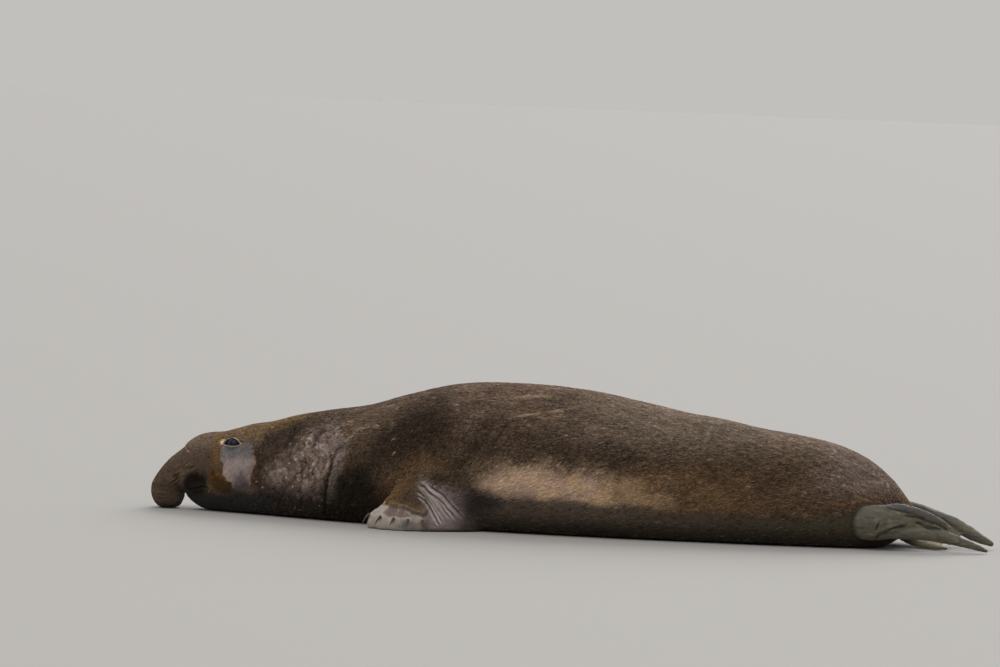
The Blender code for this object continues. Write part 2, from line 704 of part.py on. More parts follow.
def fore_flipper(name, side):
    """Forearm, hand and the skin behind them: a fan of ridges spread on the floor round the wrist."""
    angles = fore_angles()
    count = len(angles)
    points = [fore_point(angle, share, fore_height(angle, share), side) for share in FORE_SHARES for angle in angles]
    points += [fore_point(angle, 0.985, 0.0, side) for angle in angles]
    centre = (to_x(FORE_CENTRE[0]), side * FORE_CENTRE[1])
    points += [(*centre, FORE_TOP), (*centre, 0.0)]
    faces = []
    for i in range(len(FORE_SHARES)):
        for k in range(count):
            a, b = i * count + k, i * count + (k + 1) % count
            faces.append((a, b, b + count, a + count))
    top, bottom = len(points) - 2, len(points) - 1
    edge = len(FORE_SHARES) * count
    for k in range(count):
        faces.append((top, (k + 1) % count, k))
        faces.append((bottom, edge + k, edge + (k + 1) % count))
    return mesh_object(name, points, faces)


def claw(name, angle, side):
    """A tapered, slightly hooked nail on the upper side of a finger's end, pointing along it."""
    start = np.array(fore_point(angle, CLAW_FROM, 0.0, side))
    ahead = np.array(fore_point(angle, 1.0, 0.0, side)) - start
    ahead = ahead / np.linalg.norm(ahead)
    root_height = fore_height(angle, CLAW_FROM)
    rows = []
    for k in range(6):
        share = k / 5
        place = start + ahead * CLAW_LENGTH * share
        radius = CLAW_ROOT + (CLAW_TIP - CLAW_ROOT) * share
        drop = (root_height - CLAW_TIP_HEIGHT) * (0.35 * share + 0.65 * share**2)
        rows.append((place[0] + LENGTH / 2, side * place[1], root_height - drop, radius, radius))
    return loft(name, list(tube_rings(rows, 8, side)))


def tail():
    rows = [(s, 0.0, z, thick, half) for s, z, half, thick in TAIL_STATIONS]
    return tube("tail", rows, 12, 7, 1)


def clear_of(obj, other):
    """Cuts obj back from other by GAP and keeps its main piece."""
    cutter = grown(other, GAP)
    apply_boolean(obj, "DIFFERENCE", cutter)
    remove(cutter)
    largest_only(obj)


def finish(obj, surface):
    obj.data.materials.clear()
    obj.data.materials.append(surface)
    obj.data.shade_smooth()
    obj.data.set_sharp_from_angle(angle=math.radians(50))


def main():
    for obj in list(bpy.data.objects):
        bpy.data.objects.remove(obj)
    fur = material("brown_fur", FUR_BROWN, 0.75)
    shield = material("scarred_shield", SHIELD_GREY, 0.7)
    flipper = material("flipper_skin", FLIPPER_GREY, 0.8)
    eye = material("wet_eye", EYE_BLACK, 0.1)
    horn = material("claw_horn", CLAW_HORN, 0.45)

    body = make_body()
    eyes = []
    finish_head(body, eyes)

    limbs = {
        "foreflipper_left": fore_flipper("foreflipper_left", -1),
        "foreflipper_right": fore_flipper("foreflipper_right", 1),
        "hind_flipper_left": hind_flipper("hind_flipper_left", LEFT_TOES, -1, 0.0),
        "hind_flipper_right": hind_flipper("hind_flipper_right", RIGHT_TOES, 1, RIGHT_FOOT_DROP),
    }
    stub = tail()
    for limb in [*limbs.values(), stub]:
        clear_of(limb, body)

    claws = []
    for side, word in ((-1, "left"), (1, "right")):
        for k, (angle, _) in enumerate(FORE_FINGERS):
            nail = claw(f"claw_{word}_{k + 1}", angle, side)
            clear_of(nail, limbs[f"foreflipper_{word}"])
            claws.append(nail)

    for node in split_body(body):
        finish(node, shield if node.name == "neck" else fur)
    remove(body)
    for limb in limbs.values():
        finish(limb, flipper)
    finish(stub, fur)
    for node in eyes:
        finish(node, eye)
    for node in claws:
        finish(node, horn)


main()
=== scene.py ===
"""Looks of the resting elephant seal: one skin with its folds, lids and markings, a coat of short
tufts, whiskers, wet eyes and claws, on a plain pale floor.

Metres, +Z up, nose towards -X, the animal's left side towards -Y. Lengthwise places are written as
the distance behind the nose, as in the solids, and to_x turns them into X.
"""

import math
from types import SimpleNamespace

import bmesh
import bpy
import numpy as np
from mathutils import Matrix, Vector
from mathutils.bvhtree import BVHTree


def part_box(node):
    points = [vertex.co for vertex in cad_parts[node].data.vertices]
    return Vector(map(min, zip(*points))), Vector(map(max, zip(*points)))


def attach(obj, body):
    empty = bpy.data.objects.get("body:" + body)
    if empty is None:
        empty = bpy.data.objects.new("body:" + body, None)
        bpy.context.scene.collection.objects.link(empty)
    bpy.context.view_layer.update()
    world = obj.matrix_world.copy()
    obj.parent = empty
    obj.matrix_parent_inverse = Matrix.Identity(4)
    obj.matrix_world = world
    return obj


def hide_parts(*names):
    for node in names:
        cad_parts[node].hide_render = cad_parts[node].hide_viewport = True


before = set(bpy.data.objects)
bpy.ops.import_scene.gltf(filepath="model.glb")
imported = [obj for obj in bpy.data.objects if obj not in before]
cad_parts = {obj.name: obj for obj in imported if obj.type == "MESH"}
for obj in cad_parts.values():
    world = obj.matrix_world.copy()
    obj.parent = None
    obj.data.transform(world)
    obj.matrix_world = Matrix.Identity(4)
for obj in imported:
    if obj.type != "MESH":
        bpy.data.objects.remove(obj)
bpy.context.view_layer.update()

SEED = 20
LENGTH = 4.468


# Edge of the skin's faces before they are made finer, depth of the skin under the solids' surface, and
# width of the rounding where a limb leaves the body
VOXEL = 0.009
COAT_DEPTH = 0.0035
JUNCTION = 0.040

# Sections of the body, from the tail root to the tip of the proboscis: back line behind the nose and
# height, under line behind the nose and height, half-width, height of the widest place and half-width
# of the flat on the floor (both as shares), and fullness of the upper half.

STATIONS = [
    (4.075, 0.200, 4.070, 0.115, 0.070, 0.50, 0.20, 2.0),
    (4.029, 0.241, 4.020, 0.075, 0.140, 0.45, 0.30, 2.0),
    (3.974, 0.306, 3.960, 0.030, 0.200, 0.42, 0.45, 2.0),
    (3.920, 0.360, 3.900, 0.004, 0.248, 0.40, 0.58, 2.0),
    (3.813, 0.437, 3.800, 0.000, 0.305, 0.36, 0.68, 2.0),
    (3.654, 0.506, 3.650, 0.000, 0.358, 0.33, 0.72, 2.1),
    (3.444, 0.553, 3.440, 0.000, 0.410, 0.31, 0.75, 2.1),
    (3.233, 0.583, 3.230, 0.000, 0.450, 0.30, 0.76, 2.1),
    (2.811, 0.651, 2.811, 0.000, 0.510, 0.28, 0.78, 2.1),
    (2.386, 0.726, 2.386, 0.000, 0.548, 0.27, 0.78, 2.1),
    (1.960, 0.749, 1.960, 0.000, 0.556, 0.27, 0.78, 2.1),
    (1.640, 0.728, 1.640, 0.000, 0.538, 0.28, 0.77, 2.1),
    (1.377, 0.663, 1.377, 0.000, 0.500, 0.30, 0.75, 2.1),
    (1.165, 0.595, 1.150, 0.000, 0.446, 0.32, 0.72, 2.1),
    (0.951, 0.558, 0.930, 0.000, 0.376, 0.34, 0.68, 2.1),
    (0.790, 0.527, 0.780, 0.000, 0.318, 0.35, 0.64, 2.1),
    (0.650, 0.487, 0.655, 0.000, 0.266, 0.37, 0.60, 2.1),
    (0.545, 0.468, 0.560, 0.000, 0.232, 0.40, 0.56, 2.1),
    (0.450, 0.438, 0.475, 0.000, 0.203, 0.43, 0.50, 2.1),
    (0.388, 0.421, 0.415, 0.000, 0.186, 0.45, 0.44, 2.1),
    (0.320, 0.414, 0.340, 0.000, 0.168, 0.47, 0.36, 2.1),
    (0.265, 0.401, 0.290, 0.009, 0.154, 0.49, 0.28, 2.2),
    (0.222, 0.379, 0.244, 0.032, 0.146, 0.51, 0.22, 2.2),
    (0.192, 0.354, 0.214, 0.056, 0.139, 0.52, 0.18, 2.2),
    (0.176, 0.331, 0.195, 0.083, 0.133, 0.52, 0.16, 2.2),
    (0.143, 0.304, 0.1830, 0.1010, 0.132, 0.52, 0.14, 2.2),
    (0.099, 0.266, 0.1775, 0.1080, 0.134, 0.52, 0.12, 2.2),
    (0.057, 0.216, 0.1760, 0.1090, 0.134, 0.52, 0.12, 2.2),
    (0.027, 0.170, 0.1755, 0.1050, 0.131, 0.52, 0.12, 2.2),
    (0.006, 0.128, 0.1760, 0.0970, 0.126, 0.52, 0.14, 2.2),
    (0.003, 0.078, 0.1770, 0.0820, 0.119, 0.52, 0.16, 2.2),
    (0.015, 0.040, 0.1770, 0.0620, 0.109, 0.52, 0.18, 2.2),
    (0.035, 0.013, 0.1745, 0.0480, 0.096, 0.52, 0.20, 2.2),
    (0.060, -0.003, 0.1690, 0.0340, 0.082, 0.52, 0.24, 2.2),
    (0.092, -0.006, 0.1610, 0.0200, 0.062, 0.52, 0.28, 2.2),
    (0.120, -0.006, 0.1500, 0.0060, 0.036, 0.52, 0.30, 2.2),
]
# Points round a section, and distance between sections on head, neck and trunk
AROUND = 200
SPACING_HEAD, SPACING_NECK, SPACING_TRUNK = 0.006, 0.010, 0.016
HEAD_TO, NECK_TO = 0.64, 1.10
# Points on the curved quarter of a section and on its flat
CURVE_STEPS, FLAT_STEPS = 120, 20

# Rows behind the nose, out, height, half-height, half-breadth
TAIL_STATIONS = [
    (3.900, 0.000, 0.205, 0.038, 0.062),
    (3.990, 0.000, 0.196, 0.032, 0.060),
    (4.050, 0.000, 0.180, 0.022, 0.050),
    (4.100, 0.000, 0.162, 0.014, 0.036),
    (4.125, 0.000, 0.152, 0.009, 0.018),
]

# Foreflipper: a fan of five fingers on the floor round the wrist, with the pleated skin behind them

FORE_CENTRE = (1.545, 0.430)
# Degrees round the wrist, 0 ahead and 90 out, and reach
FORE_FRONT = [(-60.0, 0.090), (-15.0, 0.130), (0.0, 0.165), (14.0, 0.195), (26.0, 0.232), (36.0, 0.275)]
FORE_FINGERS = [(45.0, 0.330), (60.0, 0.322), (74.5, 0.312), (89.0, 0.300), (104.0, 0.284)]
FORE_REAR = [
    (110.0, 0.268), (125.0, 0.268), (135.0, 0.275), (145.0, 0.290), (155.0, 0.310), (165.0, 0.335),
    (175.0, 0.350), (185.0, 0.300), (240.0, 0.100),
]
# Height at the wrist, and for some angles at these shares of the reach
FORE_SHARES = (0.22, 0.42, 0.55, 0.64, 0.72, 0.80, 0.88, 0.95, 1.00)
FORE_TOP = 0.252
FORE_HEIGHTS = [
    (0.0, (0.250, 0.240, 0.224, 0.205, 0.180, 0.150, 0.110, 0.066, 0.018)),
    (45.0, (0.250, 0.232, 0.192, 0.150, 0.118, 0.098, 0.084, 0.064, 0.022)),
    (75.0, (0.250, 0.238, 0.214, 0.172, 0.122, 0.092, 0.072, 0.052, 0.018)),
    (110.0, (0.250, 0.238, 0.210, 0.172, 0.132, 0.098, 0.070, 0.046, 0.014)),
    (180.0, (0.246, 0.222, 0.192, 0.166, 0.140, 0.110, 0.078, 0.044, 0.010)),
]
FINGER_RIDGE = 0.008
FINGER_NOTCH = 0.10
# How far out the rim meets the floor, as a share, and the finer mesh's columns and rows
RIM_FOOT = 0.985
FORE_COLUMNS, FORE_INNER_ROWS, FORE_OUTER_ROWS = 220, 16, 40

# Hind flippers: rows behind the nose, out, height, half-height, half-breadth. Toes are round.
HIND_FOOT = [
    (3.700, 0.150, 0.140, 0.065, 0.065),
    (3.790, 0.238, 0.139, 0.091, 0.074),
    (3.870, 0.272, 0.140, 0.096, 0.066),
    (3.960, 0.268, 0.148, 0.090, 0.050),
    (4.060, 0.248, 0.148, 0.072, 0.030),
    (4.160, 0.224, 0.130, 0.048, 0.020),
    (4.240, 0.196, 0.106, 0.022, 0.012),
]
RIGHT_FOOT_DROP = 0.016
LEFT_TOES = [
    [(3.900, 0.262, 0.196, 0.034), (4.010, 0.250, 0.221, 0.027), (4.130, 0.224, 0.194, 0.023),
     (4.210, 0.200, 0.158, 0.020), (4.262, 0.180, 0.126, 0.011)],
    [(3.920, 0.270, 0.172, 0.030), (4.030, 0.258, 0.178, 0.021), (4.150, 0.228, 0.150, 0.017),
     (4.258, 0.190, 0.112, 0.009)],
    [(3.930, 0.272, 0.146, 0.030), (4.040, 0.260, 0.152, 0.021), (4.150, 0.228, 0.131, 0.017),
     (4.250, 0.190, 0.098, 0.009)],
    [(3.900, 0.264, 0.096, 0.040), (4.010, 0.258, 0.094, 0.036), (4.160, 0.228, 0.092, 0.038),
     (4.300, 0.194, 0.064, 0.032), (4.400, 0.166, 0.036, 0.021), (4.448, 0.152, 0.017, 0.012)],
]
RIGHT_TOES = [
    [(3.900, 0.262, 0.184, 0.036), (4.010, 0.240, 0.186, 0.036), (4.130, 0.200, 0.155, 0.038),
     (4.250, 0.160, 0.119, 0.040), (4.360, 0.124, 0.070, 0.034), (4.446, 0.100, 0.036, 0.020)],
    [(3.920, 0.262, 0.160, 0.030), (4.030, 0.215, 0.148, 0.021), (4.170, 0.140, 0.112, 0.017),
     (4.290, 0.082, 0.062, 0.009)],
    [(3.920, 0.245, 0.105, 0.030), (4.020, 0.140, 0.084, 0.022), (4.140, 0.050, 0.056, 0.018),
     (4.250, -0.006, 0.030, 0.009)],
    [(3.900, 0.235, 0.085, 0.038), (3.985, 0.120, 0.052, 0.030), (4.060, 0.020, 0.030, 0.024),
     (4.150, -0.050, 0.022, 0.020), (4.236, -0.092, 0.012, 0.010)],
]
TOE_WEB_SHARE = (0.10, 0.90)
TOE_WEB = 0.008
# Rows and points round of the finer tubes
TUBE_ROWS, FOOT_AROUND, TOE_AROUND, WEB_ROWS, TAIL_STEPS = 60, 48, 32, 24, 40


def to_x(behind_nose):
    return behind_nose - LENGTH / 2


def ramp(value, low, high):
    """0 below low, 1 above high (or the other way round), smooth between."""
    t = np.clip((np.asarray(value, float) - low) / (high - low), 0, 1)
    return t * t * (3 - 2 * t)


def bell(distance, width):
    """1 at distance 0, falling smoothly to 0 over about twice the width."""
    return np.exp(-((distance / width) ** 2))


def side_view(points):
    """Distance behind the nose and height of each point."""
    return points[:, 0] + LENGTH / 2, points[:, 2]


def srgb(red, green, blue):
    """A colour given in 0 to 255 as it looks on a screen, in the linear numbers that shaders use."""
    c = np.array([red, green, blue], float) / 255
    return np.where(c <= 0.04045, c / 12.92, ((c + 0.055) / 1.055) ** 2.4)


# Noise: smooth, the same at each run


def hashed(ix, iy, iz, seed):
    h = (ix * 374761393 + iy * 668265263 + iz * 1440662683 + seed * 1274126177) & 0xFFFFFFFF
    h = ((h ^ (h >> 13)) * 1274126177) & 0xFFFFFFFF
    h = ((h ^ (h >> 16)) * 668265263) & 0xFFFFFFFF
    return (h ^ (h >> 15)) / 0xFFFFFFFF


def value_noise(points, seed):
    cell = np.floor(points).astype(np.int64)
    t = points - cell
    t = t * t * (3 - 2 * t)
    total = np.zeros(len(points))
    for corner in range(8):
        dx, dy, dz = corner & 1, corner >> 1 & 1, corner >> 2
        weight = (t[:, 0] if dx else 1 - t[:, 0]) * (t[:, 1] if dy else 1 - t[:, 1])
        weight = weight * (t[:, 2] if dz else 1 - t[:, 2])
        total += weight * hashed(cell[:, 0] + dx, cell[:, 1] + dy, cell[:, 2] + dz, seed)
    return 2 * total - 1


def noise(points, size, seed, octaves=3):
    """Fractal noise, about -1 to 1, whose largest features are that size (one number or three)."""
    at = points / np.asarray(size, float)
    total, strength, reach = np.zeros(len(points)), 1.0, 0.0
    for octave in range(octaves):
        total += strength * value_noise(at, seed + 17 * octave)
        reach += strength
        at = at * 2.03 + 11.7
        strength *= 0.5
    return total / reach * 1.6


def wavy(points, reach, size, seeds):
    """Places in the side view, (behind the nose, height), moved a little by noise."""
    moved = [value + reach * noise(points, size, seed) for value, seed in zip(side_view(points), seeds)]
    return np.stack(moved, axis=1)


def cells(points, size, seed):
    """Distances to the nearest and the second nearest of scattered centres, in cells, and a number
    from 0 to 1 that is the same all over each cell."""
    at = points / np.asarray(size, float)
    cell = np.floor(at).astype(np.int64)
    nearest = np.full(len(points), 9.0)
    second = np.full(len(points), 9.0)
    label = np.zeros(len(points))
    for step in np.ndindex(3, 3, 3):
        other = cell + np.array(step) - 1
        centre = other + np.stack([hashed(*other.T, seed + k) for k in range(3)], axis=1)
        distance = np.linalg.norm(at - centre, axis=1)
        closer = distance < nearest
        second = np.where(closer, nearest, np.minimum(second, distance))
        label = np.where(closer, hashed(*other.T, seed + 5), label)
        nearest = np.where(closer, distance, nearest)
    return nearest, second, label


# Curves and closed lofts, as in the solids but finer


def smooth(rows, at):
    """Values of the Catmull-Rom curve through rows, at positions counted in rows, such as 2.5."""
    rows = np.asarray(rows, float)
    padded = np.vstack([2 * rows[0] - rows[1], rows, 2 * rows[-1] - rows[-2]])
    at = np.clip(np.asarray(at, float), 0, len(rows) - 1)
    first = np.minimum(at.astype(int), len(rows) - 2)
    t = (at - first)[:, None]
    a, b, c, d = (padded[first + k] for k in range(4))
    return 0.5 * (2 * b + (c - a) * t + (2 * a - 5 * b + 4 * c - d) * t**2 + (3 * b - a - 3 * c + d) * t**3)


def half_section(widest, flat, fullness):
    """Half of a closed section of unit height and half-width, from the top to the middle of the bottom."""
    t = np.linspace(0, math.pi / 2, CURVE_STEPS)
    power = 2 / fullness
    upper = np.stack([np.sin(t) ** power, widest + (1 - widest) * np.cos(t) ** power], axis=1)
    lower = np.stack([flat + (1 - flat) * np.cos(t), widest * (1 - np.sin(t))], axis=1)
    level = np.array([[flat * (1 - k / FLAT_STEPS), 0] for k in range(1, FLAT_STEPS + 1)])
    return np.vstack([upper, lower[1:], level])


def ring(station, around):
    """Points of one section, top first, down the left side and up the right."""
    back = np.array([to_x(station[0]), station[1]])
    under = np.array([to_x(station[2]), station[3]])
    height = np.linalg.norm(back - under)
    line = half_section(*station[5:8]) * np.array([station[4], height])
    walked = np.concatenate([[0], np.cumsum(np.linalg.norm(np.diff(line, axis=0), axis=1))])
    even = np.linspace(0, walked[-1], around // 2 + 1)
    out = np.interp(even, walked, line[:, 0])
    up = (np.interp(even, walked, line[:, 1]) / height)[:, None]
    place = under + (back - under) * up
    left = np.stack([place[:, 0], -out, place[:, 1]], axis=1)
    right = (left * np.array([1, -1, 1]))[1:-1][::-1]
    return np.vstack([left, right])


def body_rings():
    fine = np.linspace(0, len(STATIONS) - 1, 6000)
    line = smooth(STATIONS, fine)
    middle = (line[:, 0:2] + line[:, 2:4]) / 2
    step = np.linalg.norm(np.diff(middle, axis=0), axis=1)
    back = np.linalg.norm(np.diff(line[:, 0:2], axis=0), axis=1)
    place = middle[1:, 0]
    wanted = np.where(place < HEAD_TO, SPACING_HEAD, np.where(place < NECK_TO, SPACING_NECK, SPACING_TRUNK))
    rings = np.concatenate([[0], np.cumsum(np.maximum(step, 0.8 * back) / wanted)])
    at = np.interp(np.linspace(0, rings[-1], int(rings[-1]) + 1), rings, fine)
    return np.array([ring(station, AROUND) for station in smooth(STATIONS, at)])


def loft_arrays(rings):
    """Points and triangles of the closed skin through rings, closed by a point at each end."""
    rings = np.asarray(rings, float)
    rows, count = rings.shape[:2]
    points = np.vstack([rings.reshape(-1, 3), rings[0].mean(axis=0), rings[-1].mean(axis=0)])
    i, k = np.meshgrid(np.arange(rows - 1), np.arange(count), indexing="ij")
    a = (i * count + k).ravel()
    b = (i * count + (k + 1) % count).ravel()
    sides = np.vstack([np.stack([a, b, b + count], axis=1), np.stack([a, b + count, a + count], axis=1)])
    k = np.arange(count)
    top = (rows - 1) * count
    first = np.stack([np.full(count, rows * count), (k + 1) % count, k], axis=1)
    last = np.stack([np.full(count, rows * count + 1), top + k, top + (k + 1) % count], axis=1)
    return points, np.vstack([sides, first, last])


def tube_rings(path, around, side):
    """Rings of an elliptical tube along rows of (behind nose, out, height, half-height, half-breadth)."""
    rows = np.array(path, float)
    centres = np.stack([to_x(rows[:, 0]), side * rows[:, 1], rows[:, 2]], axis=1)
    along = np.gradient(centres, axis=0)
    angles = 2 * math.pi * np.arange(around) / around
    rings = []
    for centre, tangent, high, broad in zip(centres, along, rows[:, 3], rows[:, 4]):
        tangent = tangent / np.linalg.norm(tangent)
        across = np.cross((0, 0, 1), tangent)
        across = across / np.linalg.norm(across)
        up = np.cross(tangent, across)
        rings.append(centre + np.outer(np.cos(angles), up * high) + np.outer(np.sin(angles), across * broad))
    return np.array(rings)


def rounded(path, count):
    """The path sampled smoothly in count rows, with two more that round its tip."""
    rows = smooth(path, np.linspace(0, len(path) - 1, count))
    end = rows[-1].copy()
    ahead = end[:3] - rows[-2][:3]
    ahead = ahead / np.linalg.norm(ahead)
    for turn in (40, 75):
        extra = end.copy()
        extra[:3] = end[:3] + ahead * end[3] * math.sin(math.radians(turn))
        extra[3:] = end[3:] * math.cos(math.radians(turn))
        rows = np.vstack([rows, extra])
    return rows


def web_rings(first, second, side):
    """A web between two toes: a flat closed strip from one centre line to the other."""
    count = WEB_ROWS
    at = np.linspace(*TOE_WEB_SHARE, count)
    lines = []
    for toe in (first, second):
        rows = smooth(np.array(toe)[:, :3], at * (len(toe) - 1))
        lines.append(np.stack([to_x(rows[:, 0]), side * rows[:, 1], rows[:, 2]], axis=1))
    rings = []
    for k in range(count):
        a, b = lines[0][k], lines[1][k]
        ahead = lines[0][min(k + 1, count - 1)] - lines[0][max(k - 1, 0)]
        face = np.cross(b - a, ahead)
        face = face / np.linalg.norm(face) * TOE_WEB * (1 - 0.35 * k / (count - 1))
        middle = (a + b) / 2
        rings.append([a + face, middle + face * 0.8, b + face, b - face, middle - face * 0.8, a - face])
    return np.array(rings)


def joined(parts):
    points, faces, count = [], [], 0
    for some_points, some_faces in parts:
        points.append(some_points)
        faces.append(some_faces + count)
        count += len(some_points)
    return np.vstack(points), np.vstack(faces)


def hind_flipper(toes, side, drop):
    foot = [(s, out, z - drop, high, broad) for s, out, z, high, broad in HIND_FOOT]
    parts = [loft_arrays(tube_rings(rounded(foot, TUBE_ROWS), FOOT_AROUND, side))]
    for toe in toes:
        rows = [(*row, row[3]) for row in toe]
        parts.append(loft_arrays(tube_rings(rounded(rows, TUBE_ROWS), TOE_AROUND, side)))
    for first, second in zip(toes, toes[1:]):
        parts.append(loft_arrays(web_rings(first, second, side)))
    points, faces = joined(parts)
    points[:, 2] = np.maximum(points[:, 2], 0)
    return points, faces


def fore_finger(angle):
    return np.interp(angle, [finger[0] for finger in FORE_FINGERS], range(len(FORE_FINGERS)))


def fore_reach(angle, share):
    outline = np.array(FORE_FRONT + FORE_FINGERS + FORE_REAR)
    reach = share * np.interp(angle, outline[:, 0], outline[:, 1])
    valley = (1 - np.cos(2 * math.pi * fore_finger(angle))) / 2
    fingers = (angle > FORE_FINGERS[0][0]) & (angle < FORE_FINGERS[-1][0])
    return np.where(fingers, reach * (1 - FINGER_NOTCH * valley * share**8), reach)


def fore_height(angle, share):
    angles = [row[0] for row in FORE_HEIGHTS]
    columns = np.array([np.interp(share, (0, *FORE_SHARES), (FORE_TOP, *row[1])) for row in FORE_HEIGHTS])
    height = np.array([np.interp(a, angles, column) for a, column in zip(angle, columns.T)])
    fade = np.clip((share - 0.55) / 0.2, 0, 1) * np.clip((1 - share) / 0.05, 0, 1)
    fingers = ramp(angle, FORE_FINGERS[0][0] - 9, FORE_FINGERS[0][0]) * ramp(
        angle, FORE_FINGERS[-1][0] + 9, FORE_FINGERS[-1][0]
    )
    return height + fingers * FINGER_RIDGE * fade * np.cos(2 * math.pi * fore_finger(angle))


def fore_flipper(side):
    angles = np.linspace(FORE_FRONT[0][0], FORE_REAR[-1][0], FORE_COLUMNS)
    inner, outer = np.linspace(0.06, 0.5, FORE_INNER_ROWS), np.linspace(0.52, 1.0, FORE_OUTER_ROWS)
    grid = []
    for share in np.concatenate([inner, outer]):
        level = np.full(len(angles), share)
        grid.append((fore_reach(angles, level), fore_height(angles, level)))
    grid.append((fore_reach(angles, np.full(len(angles), RIM_FOOT)), np.zeros(len(angles))))
    turn = np.radians(angles)
    rings = []
    for reach, height in grid:
        x = to_x(FORE_CENTRE[0] - reach * np.cos(turn))
        y = side * (FORE_CENTRE[1] + reach * np.sin(turn))
        rings.append(np.stack([x, y, height], axis=1))
    points, faces = loft_arrays(rings)
    points[-2] = (to_x(FORE_CENTRE[0]), side * FORE_CENTRE[1], FORE_TOP)
    points[-1] = (to_x(FORE_CENTRE[0]), side * FORE_CENTRE[1], 0)
    return points, faces


# Mesh tools


def object_from(name, points, triangles):
    """A new mesh object from an array of points and an array of triangles."""
    mesh = bpy.data.meshes.new(name)
    mesh.vertices.add(len(points))
    mesh.vertices.foreach_set("co", np.asarray(points, np.float32).ravel())
    corners = triangles.shape[1]
    mesh.loops.add(triangles.size)
    mesh.loops.foreach_set("vertex_index", triangles.astype(np.int32).ravel())
    mesh.polygons.add(len(triangles))
    mesh.polygons.foreach_set("loop_start", np.arange(len(triangles), dtype=np.int32) * corners)
    mesh.update(calc_edges=True)
    mesh.validate()
    mesh.shade_smooth()
    made = bpy.data.objects.new(name, mesh)
    bpy.context.scene.collection.objects.link(made)
    return made


def points_of(mesh):
    points = np.empty(len(mesh.vertices) * 3, np.float32)
    mesh.vertices.foreach_get("co", points)
    return points.reshape(-1, 3).astype(float)


def triangles_of(mesh):
    mesh.calc_loop_triangles()
    triangles = np.empty(len(mesh.loop_triangles) * 3, np.int32)
    mesh.loop_triangles.foreach_get("vertices", triangles)
    return triangles.reshape(-1, 3)


def edges_of(mesh):
    edges = np.empty(len(mesh.edges) * 2, np.int32)
    mesh.edges.foreach_get("vertices", edges)
    return edges.reshape(-1, 2)


def normals_of(points, triangles):
    a, b, c = (points[triangles[:, k]] for k in range(3))
    face = np.cross(b - a, c - a)
    normals = np.zeros_like(points)
    for k in range(3):
        for axis in range(3):
            normals[:, axis] += np.bincount(triangles[:, k], face[:, axis], len(points))
    return normals / np.maximum(np.linalg.norm(normals, axis=1), 1e-12)[:, None]


def relax(points, edges, weight, rounds):
    """Moves points towards the mean of their neighbours, by weight, that many times."""
    count = len(points)
    degree = np.maximum(np.bincount(edges.ravel(), minlength=count), 1)
    for _ in range(rounds):
        total = np.empty_like(points)
        for axis in range(3):
            there = np.bincount(edges[:, 0], points[edges[:, 1], axis], count)
            back = np.bincount(edges[:, 1], points[edges[:, 0], axis], count)
            total[:, axis] = there + back
        points = points + (total / degree[:, None] - points) * (0.5 * weight)[:, None]
    return points


def refine(mesh, chosen):
    """Splits the chosen faces, a flag for each, in four."""
    shape = bmesh.new()
    shape.from_mesh(mesh)
    shape.faces.ensure_lookup_table()
    edges = {edge for face, flag in zip(shape.faces, chosen) if flag for edge in face.edges}
    bmesh.ops.subdivide_edges(shape, edges=list(edges), cuts=1, use_grid_fill=True)
    odd = [face for face in shape.faces if len(face.verts) > 4]
    bmesh.ops.triangulate(shape, faces=odd)
    shape.to_mesh(mesh)
    shape.free()


def centres_of(mesh):
    centres = np.empty(len(mesh.polygons) * 3, np.float32)
    mesh.polygons.foreach_get("center", centres)
    return centres.reshape(-1, 3).astype(float)


def nearest_on(tree, points, reach):
    """Nearest point on the tree, its distance and its face for each point, or the point itself where none
    is in reach."""
    found = points.copy()
    distance = np.full(len(points), reach)
    face = np.full(len(points), -1)
    for k, point in enumerate(points):
        place, _, index, far = tree.find_nearest(point, reach)
        if place is not None:
            found[k] = place
            distance[k] = far
            face[k] = index
    return found, distance, face


# The skin: all flesh in one surface

BODY, TAIL, FORE_LEFT, FORE_RIGHT, HIND_LEFT, HIND_RIGHT = range(6)
FORE, HIND = (FORE_LEFT, FORE_RIGHT), (HIND_LEFT, HIND_RIGHT)


def part_arrays():
    """The rings of the body, and points and triangles of each part, in the order of their numbers."""
    rings = body_rings()
    return rings, [
        loft_arrays(rings),
        loft_arrays(tube_rings(rounded(TAIL_STATIONS, TAIL_STEPS), TAIL_STEPS, 1)),
        fore_flipper(-1),
        fore_flipper(1),
        hind_flipper(LEFT_TOES, -1, 0.0),
        hind_flipper(RIGHT_TOES, 1, RIGHT_FOOT_DROP),
    ]


def remeshed(parts):
    """One closed mesh of even quads round all the parts."""
    source = object_from("parts", *joined(parts))
    voxels = source.modifiers.new("voxels", "REMESH")
    voxels.mode = "VOXEL"
    voxels.voxel_size = VOXEL
    graph = bpy.context.evaluated_depsgraph_get()
    mesh = bpy.data.meshes.new_from_object(source.evaluated_get(graph))
    bpy.data.objects.remove(source)
    return mesh


def distances(points, trees):
    """Nearest point and distance on each part's surface, for each point."""
    nearest, far, faces = [], [], []
    for (low, high), tree in trees:
        place = points.copy()
        distance = np.full(len(points), JUNCTION * 1.5)
        face = np.full(len(points), -1)
        near = np.all((points > low - JUNCTION) & (points < high + JUNCTION), axis=1)
        place[near], distance[near], face[near] = nearest_on(tree, points[near], JUNCTION * 1.5)
        nearest.append(place)
        far.append(distance)
        faces.append(face)
    return np.array(nearest), np.array(far), np.array(faces)


def eye_sphere(side):
    """Centre and radius of the eyeball in the solids."""
    low, high = (np.array(corner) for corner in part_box("eye_left" if side < 0 else "eye_right"))
    return (low + high) / 2, (high - low).max() / 2


EYE_TILT_DEG = 14.0


